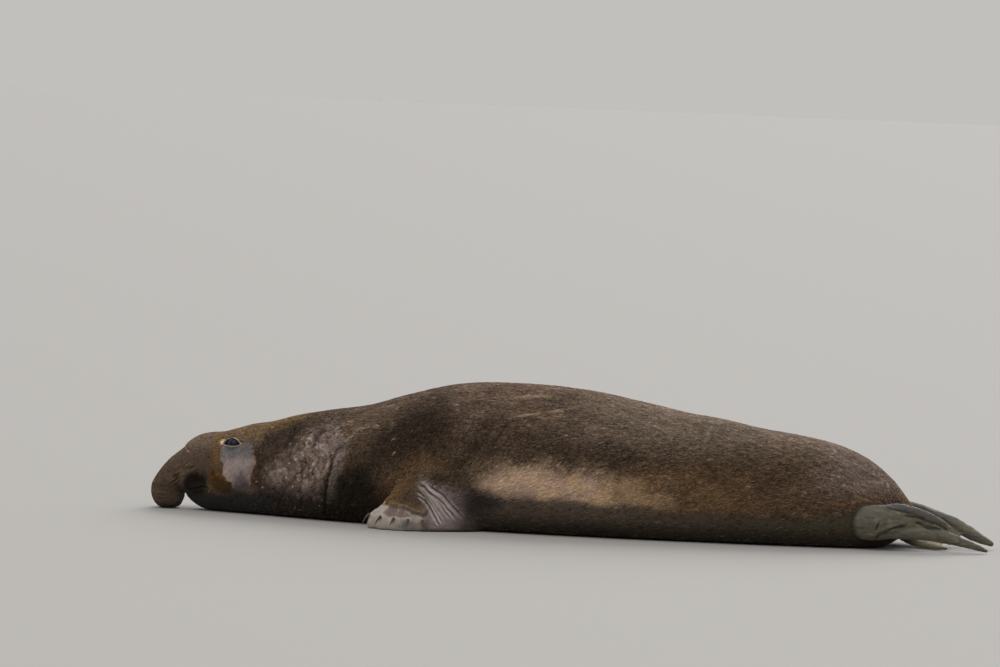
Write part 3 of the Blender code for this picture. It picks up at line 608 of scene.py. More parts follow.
def eye_axes(body_tree, side):
    """The eye's centre, radius, and rows of axes: rearward, upward and outward."""
    centre, radius = eye_sphere(side)
    _, normal, _, _ = body_tree.find_nearest(Vector(centre))
    if normal.y * side < 0:
        normal = -normal
    rearward = Vector((1, 0, -math.tan(math.radians(EYE_TILT_DEG))))
    rearward = (rearward - normal * rearward.dot(normal)).normalized()
    upward = normal.cross(rearward)
    if upward.z < 0:
        upward = -upward
    return centre, radius, np.array([rearward, upward, normal])


def build_skin_mesh():
    rings, parts = part_arrays()
    mesh = remeshed(parts)
    trees = [
        ((points.min(axis=0), points.max(axis=0)), BVHTree.FromPolygons(points.tolist(), faces.tolist()))
        for points, faces in parts
    ]
    eyes = [eye_axes(trees[BODY][1], side) for side in (-1, 1)]

    # Rounds the lines where the limbs leave the body, while the mesh is coarse
    points = points_of(mesh)
    _, far, _ = distances(points, trees)
    junction = junction_of(far)
    points = relax(points, edges_of(mesh), junction, 10)
    mesh.vertices.foreach_set("co", points.astype(np.float32).ravel())

    for chosen in (fine_area, finer_area, finest_area):
        refine(mesh, chosen(centres_of(mesh), eyes))

    # Lays the finer points on the smooth surfaces again
    points = points_of(mesh)
    nearest, far, faces = distances(points, trees)
    junction = junction_of(far)
    owner = far.argmin(axis=0)
    rows = np.arange(len(points))
    snap = (1 - junction) * ramp(far[owner, rows], 0.8 * VOXEL, 0.4 * VOXEL)
    points += (nearest[owner, rows] - points) * snap[:, None]
    points = relax(points, edges_of(mesh), 0.25 + 0.75 * junction, 3)
    points[:, 2] = np.maximum(points[:, 2], 0)
    crease = np.maximum(far[BODY], far[HIND_LEFT:].min(axis=0))
    return mesh, points, owner, faces[BODY], crease, rings, eyes


def junction_of(far):
    """1 where a limb leaves the body, 0 away from there. The hind flippers keep a sharper fold."""
    fore = ramp(np.maximum(far[BODY], far[TAIL:HIND_LEFT].min(axis=0)), JUNCTION, 0.4 * JUNCTION)
    hind = ramp(np.maximum(far[BODY], far[HIND_LEFT:].min(axis=0)), 0.3 * JUNCTION, 0.1 * JUNCTION)
    return np.maximum(fore, 0.6 * hind)


def near_scars(centres, reach):
    places = np.stack(side_view(centres), axis=1)
    close = np.zeros(len(centres), bool)
    for line, _, _ in SCARS:
        close |= line_distance(places, line)[0] < reach
    return close & (centres[:, 1] < 0)


def fine_area(centres, eyes):
    """Head, neck, limbs and scars."""
    place, height = side_view(centres)
    out = np.abs(centres[:, 1])
    head = (place < 1.55) & (height > 0.005)
    fore = (out > 0.44) & (place > 1.15) & (place < 1.98) & (height < 0.32) & (height > 0.004)
    hind = (place > 3.62) & (height > 0.004)
    return head | fore | hind | near_scars(centres, 0.022)


def finer_area(centres, eyes):
    """Muzzle, scars and round the eyes."""
    place, height = side_view(centres)
    muzzle = (place < 0.375) & (height < 0.20) & (height > 0.004)
    return muzzle | near_scars(centres, 0.012) | (eye_distance(centres, eyes) < 0.090)


def finest_area(centres, eyes):
    return eye_distance(centres, eyes) < 0.062


def eye_distance(points, eyes):
    """Distance from the nearer eye's own axis, on the outward side."""
    least = np.full(len(points), 9.0)
    for centre, _, axes in eyes:
        local = (points - centre) @ axes.T
        across = np.hypot(local[:, 0], local[:, 1])
        least = np.where(local[:, 2] > 0, np.minimum(least, across), least)
    return least


# Folds, wrinkles, lids and openings. Lines and places are in the side view, (behind the nose, height),
# and hold on both sides of the animal.

# Noise that bends lines: reach, size and seeds
WAVER, WAVER_SIZE, WAVER_SEEDS = 0.006, 0.09, (3, 4)
MAIN_CREASE = [(1.046, 0.360), (1.060, 0.308), (1.050, 0.260), (1.036, 0.214), (1.032, 0.112), (1.040, 0.030)]
# Line, depth, width
FOLDS = [
    (MAIN_CREASE, 0.020, 0.011),
    ([(0.690, 0.380), (0.715, 0.250), (0.705, 0.060)], 0.005, 0.010),
    ([(0.815, 0.440), (0.800, 0.300), (0.790, 0.150), (0.800, 0.040)], 0.007, 0.011),
    ([(0.900, 0.330), (0.885, 0.200), (0.892, 0.050)], 0.012, 0.010),
    ([(1.100, 0.330), (1.092, 0.280), (1.095, 0.200)], 0.006, 0.012),
    ([(1.135, 0.230), (1.128, 0.080)], 0.007, 0.012),
    ([(1.205, 0.260), (1.185, 0.090)], 0.007, 0.014),
    # rump, above the hind flippers
    ([(3.760, 0.290), (3.800, 0.275), (3.853, 0.256), (3.900, 0.240)], 0.007, 0.008),
    ([(3.480, 0.226), (3.542, 0.205), (3.587, 0.196), (3.650, 0.188)], 0.004, 0.008),
]
BACK_FOLDS = [
    ([(2.020, 0.600), (2.005, 0.574), (1.980, 0.538), (1.947, 0.487), (1.923, 0.436), (1.897, 0.380)],
     0.004, 0.012),
    ([(2.679, 0.475), (2.658, 0.450), (2.627, 0.419), (2.589, 0.397)], 0.003, 0.007),
    ([(0.196, 0.345), (0.212, 0.322), (0.236, 0.310)], 0.004, 0.007),
]
NECK_FOLDS = [
    ([(0.770, 0.350), (0.783, 0.375), (0.805, 0.408), (0.827, 0.445), (0.850, 0.480)], 0.009, 0.012),
    ([(0.925, 0.340), (0.935, 0.366), (0.954, 0.419), (0.972, 0.464), (0.985, 0.505)], 0.009, 0.012),
    ([(1.055, 0.300), (1.061, 0.317), (1.078, 0.369), (1.119, 0.410)], 0.006, 0.010),
]
# Line, width
RIDGES = [
    ([(1.938, 0.672), (2.036, 0.691), (2.135, 0.699), (2.241, 0.694)], 0.0055),
    ([(1.960, 0.575), (2.009, 0.592), (2.107, 0.611), (2.207, 0.625), (2.303, 0.643), (2.371, 0.660)],
     0.0055),
    ([(2.150, 0.590), (2.230, 0.600), (2.300, 0.612)], 0.0050),
]
# Slits of the hind flippers and the folds round them: line, depth, width
HIND_FOLDS = [
    ([(4.030, 0.186), (4.114, 0.170), (4.188, 0.147), (4.263, 0.107)], 0.008, 0.0055),
    ([(4.085, 0.150), (4.165, 0.126), (4.225, 0.110)], 0.008, 0.0055),
    ([(3.885, 0.050), (3.915, 0.085), (3.978, 0.116), (4.060, 0.140)], 0.007, 0.0070),
    ([(3.940, 0.228), (4.010, 0.208), (4.070, 0.193), (4.140, 0.168)], 0.004, 0.0070),
    ([(3.900, 0.108), (3.915, 0.150)], 0.005, 0.0060),
]
# Pleats of skin behind the foreflipper, and the fold at the foot of the wrist's dome
PLEATS = [
    [(1.553, 0.238), (1.618, 0.196), (1.676, 0.133), (1.735, 0.066)],
    [(1.576, 0.230), (1.650, 0.172), (1.706, 0.119), (1.767, 0.060)],
    [(1.600, 0.232), (1.680, 0.180), (1.740, 0.120), (1.800, 0.058)],
    [(1.560, 0.205), (1.606, 0.170), (1.650, 0.112), (1.700, 0.050)],
    [(1.565, 0.181), (1.603, 0.157), (1.631, 0.118), (1.674, 0.060)],
    [(1.619, 0.128), (1.640, 0.102), (1.660, 0.080), (1.691, 0.034)],
]
PLEAT_DEPTH, PLEAT_WIDTH = 0.0065, 0.0065
DOME_FOLD = [(1.395, 0.128), (1.424, 0.119), (1.506, 0.115), (1.570, 0.090), (1.612, 0.085), (1.626, 0.128)]

MOUTH_CORNER = (0.352, 0.122)
MOUTH_LINE = [(0.183, 0.112), (0.218, 0.109), (0.268, 0.118), (0.322, 0.132), (0.352, 0.122)]
LIP_CORNER = [(0.352, 0.124), (0.338, 0.108), (0.318, 0.100)]
WHISKER_PAD = [
    (0.118, 0.165), (0.150, 0.215), (0.205, 0.255), (0.262, 0.250), (0.305, 0.205),
    (0.290, 0.160), (0.250, 0.128), (0.190, 0.126), (0.140, 0.140),
]
WHISKER_ROW_DEG = 38.0
WHISKER_ROW = 0.0165

# Swellings and hollows of the sides: place behind the nose, height, reach, rise
SWELLINGS = [
    (0.128, 0.150, 0.055, 0.008),
    (0.215, 0.225, 0.060, 0.007),
    (0.283, 0.160, 0.034, -0.020),
    (0.340, 0.250, 0.050, -0.004),
    (0.455, 0.425, 0.050, 0.010),
    (0.480, 0.150, 0.110, 0.012),
    (1.870, 0.150, 0.070, -0.016),
    (1.300, 0.330, 0.140, 0.010),
]
NOSTRIL_AT = (0.162, 0.042, 0.040)
NOSTRIL_RADII = (0.026, 0.012, 0.018)
EAR_AT = (0.590, 0.345)
EAR_RADIUS = 0.006

# Lids: half-width of the opening, how far its upper and lower edges rise and fall, and how far it lies
# ahead of the eyeball
LID_HALF_WIDTH, LID_UP, LID_DOWN = 0.0545, 0.0265, 0.0220
LID_FORWARD = 0.0075
LID_THICKNESS = 0.0045
LID_REACH = 0.080
LID_BLEND = 0.004
# Outwards from a lid's edge: place and width of its margin, its crease and the roll beyond
LID_MARGIN, LID_CREASE, LID_ROLL = (0.0035, 0.0032), (0.0125, 0.0028), (0.0185, 0.0045)
MARGIN_RISE, CREASE_UPPER, CREASE_LOWER = 0.0022, 0.0030, 0.0014
# Width of the covered ball, to its height
EYE_WIDER = 1.12
SHIELD = [
    (0.600, 0.060), (0.585, 0.230), (0.640, 0.330), (0.720, 0.370), (0.820, 0.430), (0.930, 0.510),
    (1.020, 0.560), (1.075, 0.470), (1.085, 0.300), (1.060, 0.060), (0.800, 0.030),
]


def line_distance(places, line):
    """Distance of places in a plane from a line through points, how far along it the nearest point is
    (0 to 1), and on which side it is (positive above a line that runs to the right)."""
    line = np.asarray(line, float)
    lengths = np.linalg.norm(np.diff(line, axis=0), axis=1)
    before = np.concatenate([[0], np.cumsum(lengths)])
    least = np.full(len(places), 9.0)
    along = np.zeros(len(places))
    beside = np.ones(len(places))
    for a, b, length, start in zip(line, line[1:], lengths, before):
        run = (b - a) / length
        offset = places - a
        t = np.clip(offset @ run, 0, length)
        away = offset - t[:, None] * run
        distance = np.linalg.norm(away, axis=1)
        closer = distance < least
        least = np.where(closer, distance, least)
        along = np.where(closer, (start + t) / before[-1], along)
        beside = np.where(closer, np.sign(run[0] * offset[:, 1] - run[1] * offset[:, 0]), beside)
    return least, along, beside


def inside(places, outline, soft):
    """1 well inside a closed outline, 0 well outside, smooth over twice soft between."""
    outline = np.asarray(outline, float)
    distance, _, _ = line_distance(places, np.vstack([outline, outline[:1]]))
    within = np.zeros(len(places), bool)
    for a, b in zip(outline, np.roll(outline, -1, axis=0)):
        crosses = (a[1] > places[:, 1]) != (b[1] > places[:, 1])
        rise = b[1] - a[1] if b[1] != a[1] else 1e-12
        within ^= crosses & (places[:, 0] < a[0] + (b[0] - a[0]) * (places[:, 1] - a[1]) / rise)
    return ramp(np.where(within, distance, -distance), -soft, soft)


def line_and_fade(places, line, ends, start=-0.02):
    """Distance of places from a line, and a share that falls to 0 towards both its ends."""
    distance, along, _ = line_distance(places, line)
    return distance, ramp(np.minimum(along, 1 - along), start, ends)


def stroke(places, line, width, ends, start=-0.02):
    """1 on a line, falling to 0 beside it and towards both its ends."""
    distance, fade = line_and_fade(places, line, ends, start)
    return fade * bell(distance, width)


def groove(places, line, depth, width, ends=0.18):
    """A fold along the line: a narrow valley between low rounded lips."""
    distance, fade = line_and_fade(places, line, ends)
    lips = 0.45 * bell(distance, 2.6 * width)
    return depth * fade * (lips - 1.45 * bell(distance, width))


def lid_opening(local):
    """How far a place in the eye's plane is inside the opening between the lids; negative outside."""
    along = local[:, 0] + LID_FORWARD
    u = np.clip(along / LID_HALF_WIDTH, -1, 1)
    arch = (1 - u**2) ** 0.8
    upper = LID_UP * arch * (1 - 0.30 * u)
    lower = -LID_DOWN * arch * (1 + 0.28 * u)
    within = np.minimum(upper - local[:, 1], local[:, 1] - lower)
    return np.minimum(within, LID_HALF_WIDTH - np.abs(along))


def shape_lids(points, eyes):
    """Lays lids over each eyeball and sinks the skin between them. Returns the points and, for each,
    how far inside an opening it is."""
    opening = np.full(len(points), -1.0)
    for centre, radius, axes in eyes:
        local = (points - centre) @ axes.T
        across = np.hypot(local[:, 0], local[:, 1])
        near = np.nonzero((local[:, 2] > 0) & (across < LID_REACH))[0]
        q = local[near]
        wide = radius * EYE_WIDER
        inner = 1 - (q[:, 0] / wide) ** 2 - (q[:, 1] / radius) ** 2
        ball = radius * np.sqrt(np.clip(inner, 0, 1))
        within = lid_opening(q)
        cover = ball + LID_THICKNESS
        over = np.logaddexp(q[:, 2] / LID_BLEND, cover / LID_BLEND) * LID_BLEND
        over -= LID_BLEND * np.logaddexp(0, -np.abs(q[:, 2] - cover) / LID_BLEND) * 0.5
        over += MARGIN_RISE * bell(within + LID_MARGIN[0], LID_MARGIN[1])
        fold = np.where(q[:, 1] > 0, CREASE_UPPER, CREASE_LOWER)
        over -= fold * bell(within + LID_CREASE[0], LID_CREASE[1])
        over += fold * 0.8 * bell(within + LID_ROLL[0], LID_ROLL[1])
        sunk = np.minimum(ball - 0.004, over - 0.012)
        q[:, 2] = over + (sunk - over) * ramp(within, -0.0006, 0.0018)
        points[near] = centre + q @ axes
        opening[near] = within
    return points, opening


def pit(points, centre, radii, depth):
    distance = np.linalg.norm((points - np.array(centre)) / np.array(radii), axis=1)
    return -depth * np.exp(-(distance**4))


def shield_cells(points):
    """Cobbles of the shield, bent so that they don't look like a net."""
    bent = points.copy()
    bent[:, 0] += 0.020 * noise(points, 0.060, 19)
    bent[:, 2] += 0.020 * noise(points, 0.060, 20)
    return cells(bent, (0.050, 0.055, 0.062), 7)


def shield_veins(points):
    """Light raised scars and dark clefts that cross the shield, each from 0 to 1."""
    bent = points + 0.008 * noise(points, 0.040, 89)[:, None]
    light = np.exp(-((noise(bent, (0.026, 0.026, 0.036), 84, 2) / 0.20) ** 2))
    light = light * ramp(noise(points, 0.07, 85), -0.5, 0.4)
    dark = np.exp(-((noise(bent, (0.040, 0.040, 0.070), 86, 2) / 0.15) ** 2))
    return light, dark * ramp(noise(points, 0.09, 90), -0.7, 0.3)


def shield_rough(points):
    """Where the shield is rough, from 0 to 1."""
    return ramp(noise(points, 0.11, 16), -0.9, 0.5)


def relief(points, normals, owner, crease):
    """How far each point moves out of the smooth surface for folds, wrinkles, swellings and pits."""
    place, height = side_view(points)
    at = SimpleNamespace(
        points=points,
        place=place,
        height=height,
        out=np.abs(points[:, 1]),
        facing=np.abs(normals[:, 1]),
        outer=np.where(points[:, 1] * normals[:, 1] > 0, 1.0, 0.25),
        body=owner == BODY,
        fore=np.isin(owner, FORE),
        hind=np.isin(owner, HIND),
        crease=crease,
        places=wavy(points, WAVER, WAVER_SIZE, WAVER_SEEDS),
    )
    move = np.zeros(len(points))
    for add_relief in (trunk_relief, shield_relief, muzzle_relief, limb_relief):
        add_relief(move, at)
    return move * ramp(height, 0.0, 0.006)


def trunk_relief(move, at):
    points, place, height, body = at.points, at.place, at.height, at.body
    trunk = ramp(place, 0.62, 1.2)
    move += (0.0022 + 0.0030 * trunk) * noise(points, 0.38, 5, 2) * ramp(height, 0.0, 0.08)
    move += 0.0012 * noise(points, (0.16, 0.07, 0.07), 6) * trunk
    move -= 0.0040 * trunk * ramp(height, 0.52, 0.68)
    for line, width in RIDGES:
        distance, fade = line_and_fade(at.places, line, 0.30)
        move += 0.004 * fade * bell(distance, 1.6 * width) * body
    for line, depth, width in FOLDS + BACK_FOLDS + NECK_FOLDS:
        move += groove(at.places, line, depth, width) * body * ramp(height, 0.0, 0.03)
    for centre, high, reach, rise in SWELLINGS:
        distance = ((place - centre) ** 2 + (height - high) ** 2) / reach**2
        move += rise * np.exp(-distance) * at.facing * body


def shield_relief(move, at):
    """Cobbles, scars and clefts of the chest shield, and the wrinkled throat."""
    points, place = at.points, at.place
    shield = inside(at.places, SHIELD, 0.045) * at.body
    nearest, second, _ = shield_cells(points)
    move += 0.0060 * shield * shield_rough(points) * (ramp(second - nearest, 0.0, 0.45) - 0.6)
    nearest, second, _ = cells(points + 0.006 * noise(points, 0.02, 17)[:, None], (0.022, 0.022, 0.030), 8)
    move += 0.0030 * shield * (ramp(second - nearest, 0.0, 0.5) - 0.6)
    move += 0.0030 * shield * noise(points, (0.018, 0.030, 0.050), 18)
    light, dark = shield_veins(points)
    move += shield * (0.0026 * light - 0.0050 * dark)
    throat = ramp(place, 0.35, 0.60) * ramp(place, 1.5, 1.2) * ramp(at.height, 0.22, 0.05) * at.body
    nearest, second, _ = cells(points, (0.045, 0.045, 0.060), 9)
    move += 0.0030 * throat * (ramp(second - nearest, 0.0, 0.4) - 0.5)


def muzzle_relief(move, at):
    """Whisker pads, furrows round the nose, mouth, nostrils and ear openings."""
    points, place, height, facing, body = at.points, at.place, at.height, at.facing, at.body
    pad = inside(np.stack([place, height], axis=1), WHISKER_PAD, 0.018) * facing * body
    broken = ramp(noise(points, (0.045, 0.020, 0.020), 13), -0.7, 0.5)
    move += 0.0018 * pad * broken * pad_streaks(points)
    snout = ramp(place, 0.24, 0.12) * body
    rings = (np.hypot(place - 0.19, height - 0.10) + 0.5 * waver_along(points)) / 0.030
    turned = np.arctan2(height - 0.10, 0.19 - place)
    furrows = np.cos(2 * math.pi * (turned / 0.23 + 0.2 * rings + 0.8 * noise(points, 0.07, 14)))
    move += 0.0010 * snout * furrows * facing * ramp(noise(points, 0.06, 15), -0.2, 0.6)
    move += groove(at.places, MOUTH_LINE, 0.009, 0.0045, 0.05) * body * facing
    move += groove(at.places, LIP_CORNER, 0.004, 0.0050) * body * facing
    corner = np.exp(-(((place - 0.325) ** 2 + (height - 0.118) ** 2) / 0.030**2)) * facing * body
    move += 0.0040 * corner * noise(points, 0.016, 10, 2)
    for side in (-1, 1):
        nostril = (to_x(NOSTRIL_AT[0]), side * NOSTRIL_AT[1], NOSTRIL_AT[2])
        move += pit(points, nostril, NOSTRIL_RADII, 0.012) * body
    ear = np.hypot(place - EAR_AT[0], height - EAR_AT[1]) / EAR_RADIUS
    move -= 0.007 * np.exp(-(ear**4)) * (at.out > 0.1) * body


def limb_relief(move, at):
    """Pleats, the fold round the wrist, slits of the hind flippers and the creases at their roots."""
    points, place, fore, hind = at.points, at.place, at.fore, at.hind
    near_fore = (fore | (at.body & (at.out > 0.46))) & (np.abs(place - 1.60) < 0.30)
    for line in PLEATS:
        move += groove(at.places, line, PLEAT_DEPTH, PLEAT_WIDTH, 0.12) * near_fore
    distance, along, beside = line_distance(at.places, DOME_FOLD)
    fade = ramp(np.minimum(along, 1 - along), -0.02, 0.15) * fore * (at.out > 0.55)
    above = np.where(beside > 0, 1.0, 0.0)
    move += fade * 0.009 * bell(distance, 0.026) * above
    move -= fade * 0.008 * bell(distance, 0.007)
    move += 0.0016 * noise(points, 0.030, 11) * fore
    for line, depth, width in HIND_FOLDS:
        move += groove(at.places, line, depth, width, 0.10) * hind * at.outer
    move += 0.0020 * noise(points, (0.070, 0.030, 0.020), 12) * hind
    move += 0.0011 * noise(points, (0.090, 0.014, 0.012), 67) * hind
    move -= 0.007 * bell(at.crease, 0.010) * (place > 3.6)


def waver_along(points):
    return WAVER * noise(points, WAVER_SIZE, WAVER_SEEDS[0])


def pad_turned(points):
    """Places turned so that the rows of whiskers lie level."""
    place, height = side_view(points)
    turn = math.radians(WHISKER_ROW_DEG)
    return place * math.cos(turn) + height * math.sin(turn), height * math.cos(turn) - place * math.sin(turn)


def pad_rows(points):
    """Rows of whiskers on the pad, counted across them."""
    return (pad_turned(points)[1] + 0.25 * waver_along(points)) / WHISKER_ROW


def pad_streaks(points):
    """Short uneven ridges of the whisker pads, above 0, and the clefts between them, below."""
    along, across = pad_turned(points)
    turned = np.stack([along, points[:, 1], across], axis=1)
    return 0.4 * np.cos(2 * math.pi * pad_rows(points)) + 1.3 * noise(turned, (0.034, 0.030, 0.0085), 38)


# Markings, with painted shade and painted highlights: one set of colours that the skin and the coat share

CHEEK = [
    (0.409, 0.354), (0.405, 0.310), (0.414, 0.277), (0.432, 0.262), (0.431, 0.202), (0.450, 0.191),
    (0.455, 0.172), (0.488, 0.166), (0.493, 0.138), (0.513, 0.111), (0.570, 0.109), (0.591, 0.153),
    (0.596, 0.217), (0.615, 0.275), (0.611, 0.306), (0.592, 0.322), (0.603, 0.345), (0.599, 0.360),
    (0.588, 0.373), (0.566, 0.381), (0.538, 0.379), (0.515, 0.368), (0.450, 0.384), (0.420, 0.366),
]
GOLD = [
    (0.362, 0.225), (0.428, 0.222), (0.431, 0.202), (0.455, 0.188), (0.492, 0.164), (0.490, 0.120),
    (0.440, 0.100), (0.385, 0.112), (0.355, 0.160), (0.350, 0.215),
]
RUST = [(0.600, 0.350), (0.650, 0.360), (0.672, 0.290), (0.660, 0.170), (0.600, 0.150), (0.612, 0.270)]
CROWN = [
    (0.345, 0.470), (0.372, 0.380), (0.450, 0.398), (0.540, 0.385), (0.600, 0.400), (0.680, 0.440),
    (0.860, 0.520), (0.860, 0.700), (0.345, 0.600),
]
OCHRE = [(0.366, 0.420), (0.404, 0.366), (0.424, 0.277), (0.420, 0.240), (0.366, 0.240), (0.350, 0.330)]
HOLLOW = [
    (0.190, 0.122), (0.214, 0.165), (0.250, 0.192), (0.279, 0.217), (0.318, 0.217), (0.340, 0.175),
    (0.334, 0.133), (0.312, 0.082), (0.259, 0.068), (0.206, 0.082),
]
THROAT = [
    (0.180, 0.088), (0.300, 0.105), (0.360, 0.105), (0.500, 0.110), (0.585, 0.120), (0.660, 0.110),
    (0.740, 0.050), (0.760, -0.10), (0.180, -0.10),
]
PINK_SHIELD = [
    (0.700, 0.130), (0.690, 0.240), (0.791, 0.330), (0.872, 0.400), (0.955, 0.480), (1.040, 0.500),
    (1.070, 0.420), (1.050, 0.268), (1.000, 0.120), (0.885, 0.090),
]
BEHIND_CREASE = [
    (1.050, 0.470), (1.110, 0.440), (1.128, 0.380), (1.115, 0.240), (1.090, 0.110), (1.050, 0.110),
    (1.070, 0.300),
]
DARK_NAPE = [(0.640, 0.420), (0.700, 0.460), (0.840, 0.510), (0.900, 0.470), (0.800, 0.370), (0.680, 0.320)]
LOW_CHEST = [
    (0.980, 0.020), (1.090, 0.210), (1.200, 0.340), (1.330, 0.240), (1.380, 0.140), (1.400, -0.2),
    (0.980, -0.2),
]
SHOULDER_GOLD = [
    (1.330, 0.110), (1.340, 0.200), (1.400, 0.290), (1.470, 0.350), (1.570, 0.390), (1.670, 0.380),
    (1.700, 0.340), (1.620, 0.300), (1.520, 0.262), (1.430, 0.215), (1.390, 0.160),
]
SHOULDER_DARK = [
    (1.250, 0.420), (1.420, 0.600), (1.620, 0.640), (1.720, 0.560), (1.700, 0.430), (1.500, 0.360),
    (1.380, 0.320), (1.240, 0.220),
]
BLADE_DARK = [(1.900, 0.600), (1.960, 0.580), (1.880, 0.440), (1.760, 0.290), (1.700, 0.300), (1.800, 0.450)]
AXILLA = [
    (1.560, 0.245), (1.665, 0.235), (1.760, 0.220), (1.860, 0.210), (1.840, 0.100), (1.800, 0.010),
    (1.640, 0.010), (1.600, 0.150),
]
# Painted shade in the hollow behind the armpit
SHADE_BEHIND_ARMPIT = [(1.790, 0.150), (1.852, 0.205), (1.930, 0.190), (1.990, 0.160), (1.930, 0.100), (1.816, 0.085)]
BLOND = [
    (1.880, 0.215), (1.890, 0.270), (2.000, 0.340), (2.200, 0.358), (2.320, 0.340), (2.480, 0.335),
    (2.680, 0.285), (2.860, 0.210), (2.760, 0.170), (2.460, 0.170), (2.250, 0.180), (2.080, 0.196),
    (1.930, 0.202),
]
BELLY_LINE = [
    (1.700, 0.170), (1.826, 0.190), (1.984, 0.186), (2.244, 0.196), (2.502, 0.192), (2.758, 0.178),
    (3.011, 0.166), (3.264, 0.152), (3.514, 0.163), (3.712, 0.190), (3.900, 0.200),
]
RUMP_LINE = [(3.650, 0.232), (3.735, 0.226), (3.782, 0.240), (3.829, 0.255), (3.870, 0.248), (3.905, 0.240)]

# Middles of small spots
NOSE_FLECK = (0.222, 0.311)
HOLLOW_LIGHT = (0.305, 0.205)
DOME_SHADE = (1.525, 0.160)

# Scars and pale flecks of the left side: places, width, strength
SCARS = [
    ([(1.106, 0.405), (1.126, 0.425), (1.155, 0.455), (1.188, 0.493), (1.240, 0.502), (1.304, 0.512)],
     0.0050, 0.55),
    ([(1.277, 0.599), (1.330, 0.612), (1.374, 0.596), (1.382, 0.609)], 0.0045, 0.55),
    ([(0.985, 0.560), (1.030, 0.620), (1.060, 0.615)], 0.0050, 0.35),
    ([(1.030, 0.470), (1.090, 0.500), (1.150, 0.530), (1.200, 0.535)], 0.0045, 0.40),
    ([(1.350, 0.470), (1.372, 0.510), (1.380, 0.545)], 0.0060, 0.40),
    ([(3.647, 0.391), (3.656, 0.374), (3.696, 0.365), (3.724, 0.368)], 0.0035, 0.35),
    ([(3.647, 0.391), (3.655, 0.425), (3.680, 0.445)], 0.0030, 0.25),
    ([(3.830, 0.326), (3.842, 0.342), (3.888, 0.339), (3.920, 0.337), (3.937, 0.302), (3.937, 0.285)],
     0.0035, 0.45),
    ([(0.930, 0.215), (0.940, 0.260), (0.975, 0.300)], 0.0050, 0.35),
    ([(0.880, 0.330), (0.940, 0.370), (1.000, 0.420)], 0.0050, 0.30),
]
# Place, height, reach
FLECKS = [
    (0.956, 0.293, 0.0085), (1.006, 0.345, 0.0055), (0.680, 0.461, 0.0045), (0.815, 0.289, 0.0050),
    (0.844, 0.169, 0.0055), (0.765, 0.250, 0.0045), (0.863, 0.268, 0.0045), (0.909, 0.234, 0.0060),
    (0.663, 0.153, 0.0040), (0.706, 0.219, 0.0040), (1.090, 0.509, 0.0040), (1.058, 0.453, 0.0045),
    (1.407, 0.385, 0.0060), (1.399, 0.457, 0.0055), (1.483, 0.499, 0.0060), (3.723, 0.326, 0.0045),
    (3.539, 0.285, 0.0050), (0.880, 0.350, 0.0045), (0.935, 0.330, 0.0050), (0.960, 0.400, 0.0055),
    (0.800, 0.215, 0.0050), (0.850, 0.310, 0.0060), (1.700, 0.640, 0.0060), (1.560, 0.665, 0.0060),
    (1.715, 0.615, 0.0050), (2.100, 0.560, 0.0050), (2.300, 0.520, 0.0045),
    (2.620, 0.430, 0.0050), (2.480, 0.560, 0.0050), (3.050, 0.430, 0.0045), (3.250, 0.300, 0.0050),
]

# Colours are written as they look on a screen, from 0 to 255
BROWN, BROWN_DARK, BROWN_LIGHT = (91, 73, 58), (57, 45, 36), (124, 105, 86)
RUFOUS = (98, 72, 50)


def paint(colours, seen, mask):
    """Blends a colour into the colours by the mask."""
    colours += (srgb(*seen) - colours) * mask[:, None]


def blob(places, centre, reach):
    return bell(np.hypot(places[:, 0] - centre[0], places[:, 1] - centre[1]), reach)


def body_colours(points, normals, opening, eyes):
    """Colours of the trunk and head, and how furred and how smooth each point is."""
    place, height = side_view(points)
    blur = 0.020 * noise(points, 0.10, 31) + 0.010 * noise(points, 0.03, 32, 2)
    at = SimpleNamespace(
        points=points,
        normals=normals,
        place=place,
        height=height,
        left=points[:, 1] < 0,
        blur=blur,
        far=np.stack([place + blur, height + 0.020 * noise(points, 0.10, 34)], axis=1),
        near=wavy(points, 0.0025, 0.030, (33, 35)),
        small=noise(points, (0.07, 0.045, 0.045), 37),
        trunk=ramp(place, 0.95, 1.15),
    )
    colours = np.tile(srgb(*BROWN), (len(points), 1))
    paint_trunk(colours, at)
    below = paint_belly(colours, at)
    cobbled = paint_shield(colours, at)
    paint_head(colours, at)
    paint_muzzle(colours, at)
    cheek = paint_cheek(colours, at)
    paint_lids(colours, at, opening, eyes)
    bald = paint_scars(colours, at, cobbled)

    fur = 1 - 0.72 * cobbled - cheek
    fur = np.minimum(fur, 1 - 0.97 * ramp(opening, -0.016, -0.008) * (opening > -0.5))
    fur = np.minimum(fur, 1 - 0.75 * below)
    fur = np.minimum(fur, 1 - 0.85 * inside(at.far, AXILLA, 0.040))
    fur = np.minimum(fur, 1 - 0.60 * inside(at.far, THROAT, 0.030))
    fur = np.minimum(fur, 1 - 0.9 * bald)
    bulb = ramp(place, 0.235, 0.200) * ramp(height, 0.10, 0.05)
    smooth_skin = np.maximum.reduce([0.75 * cheek, 0.9 * bulb, ramp(opening, -0.004, 0.0)])
    return colours, np.clip(fur, 0, 1), smooth_skin


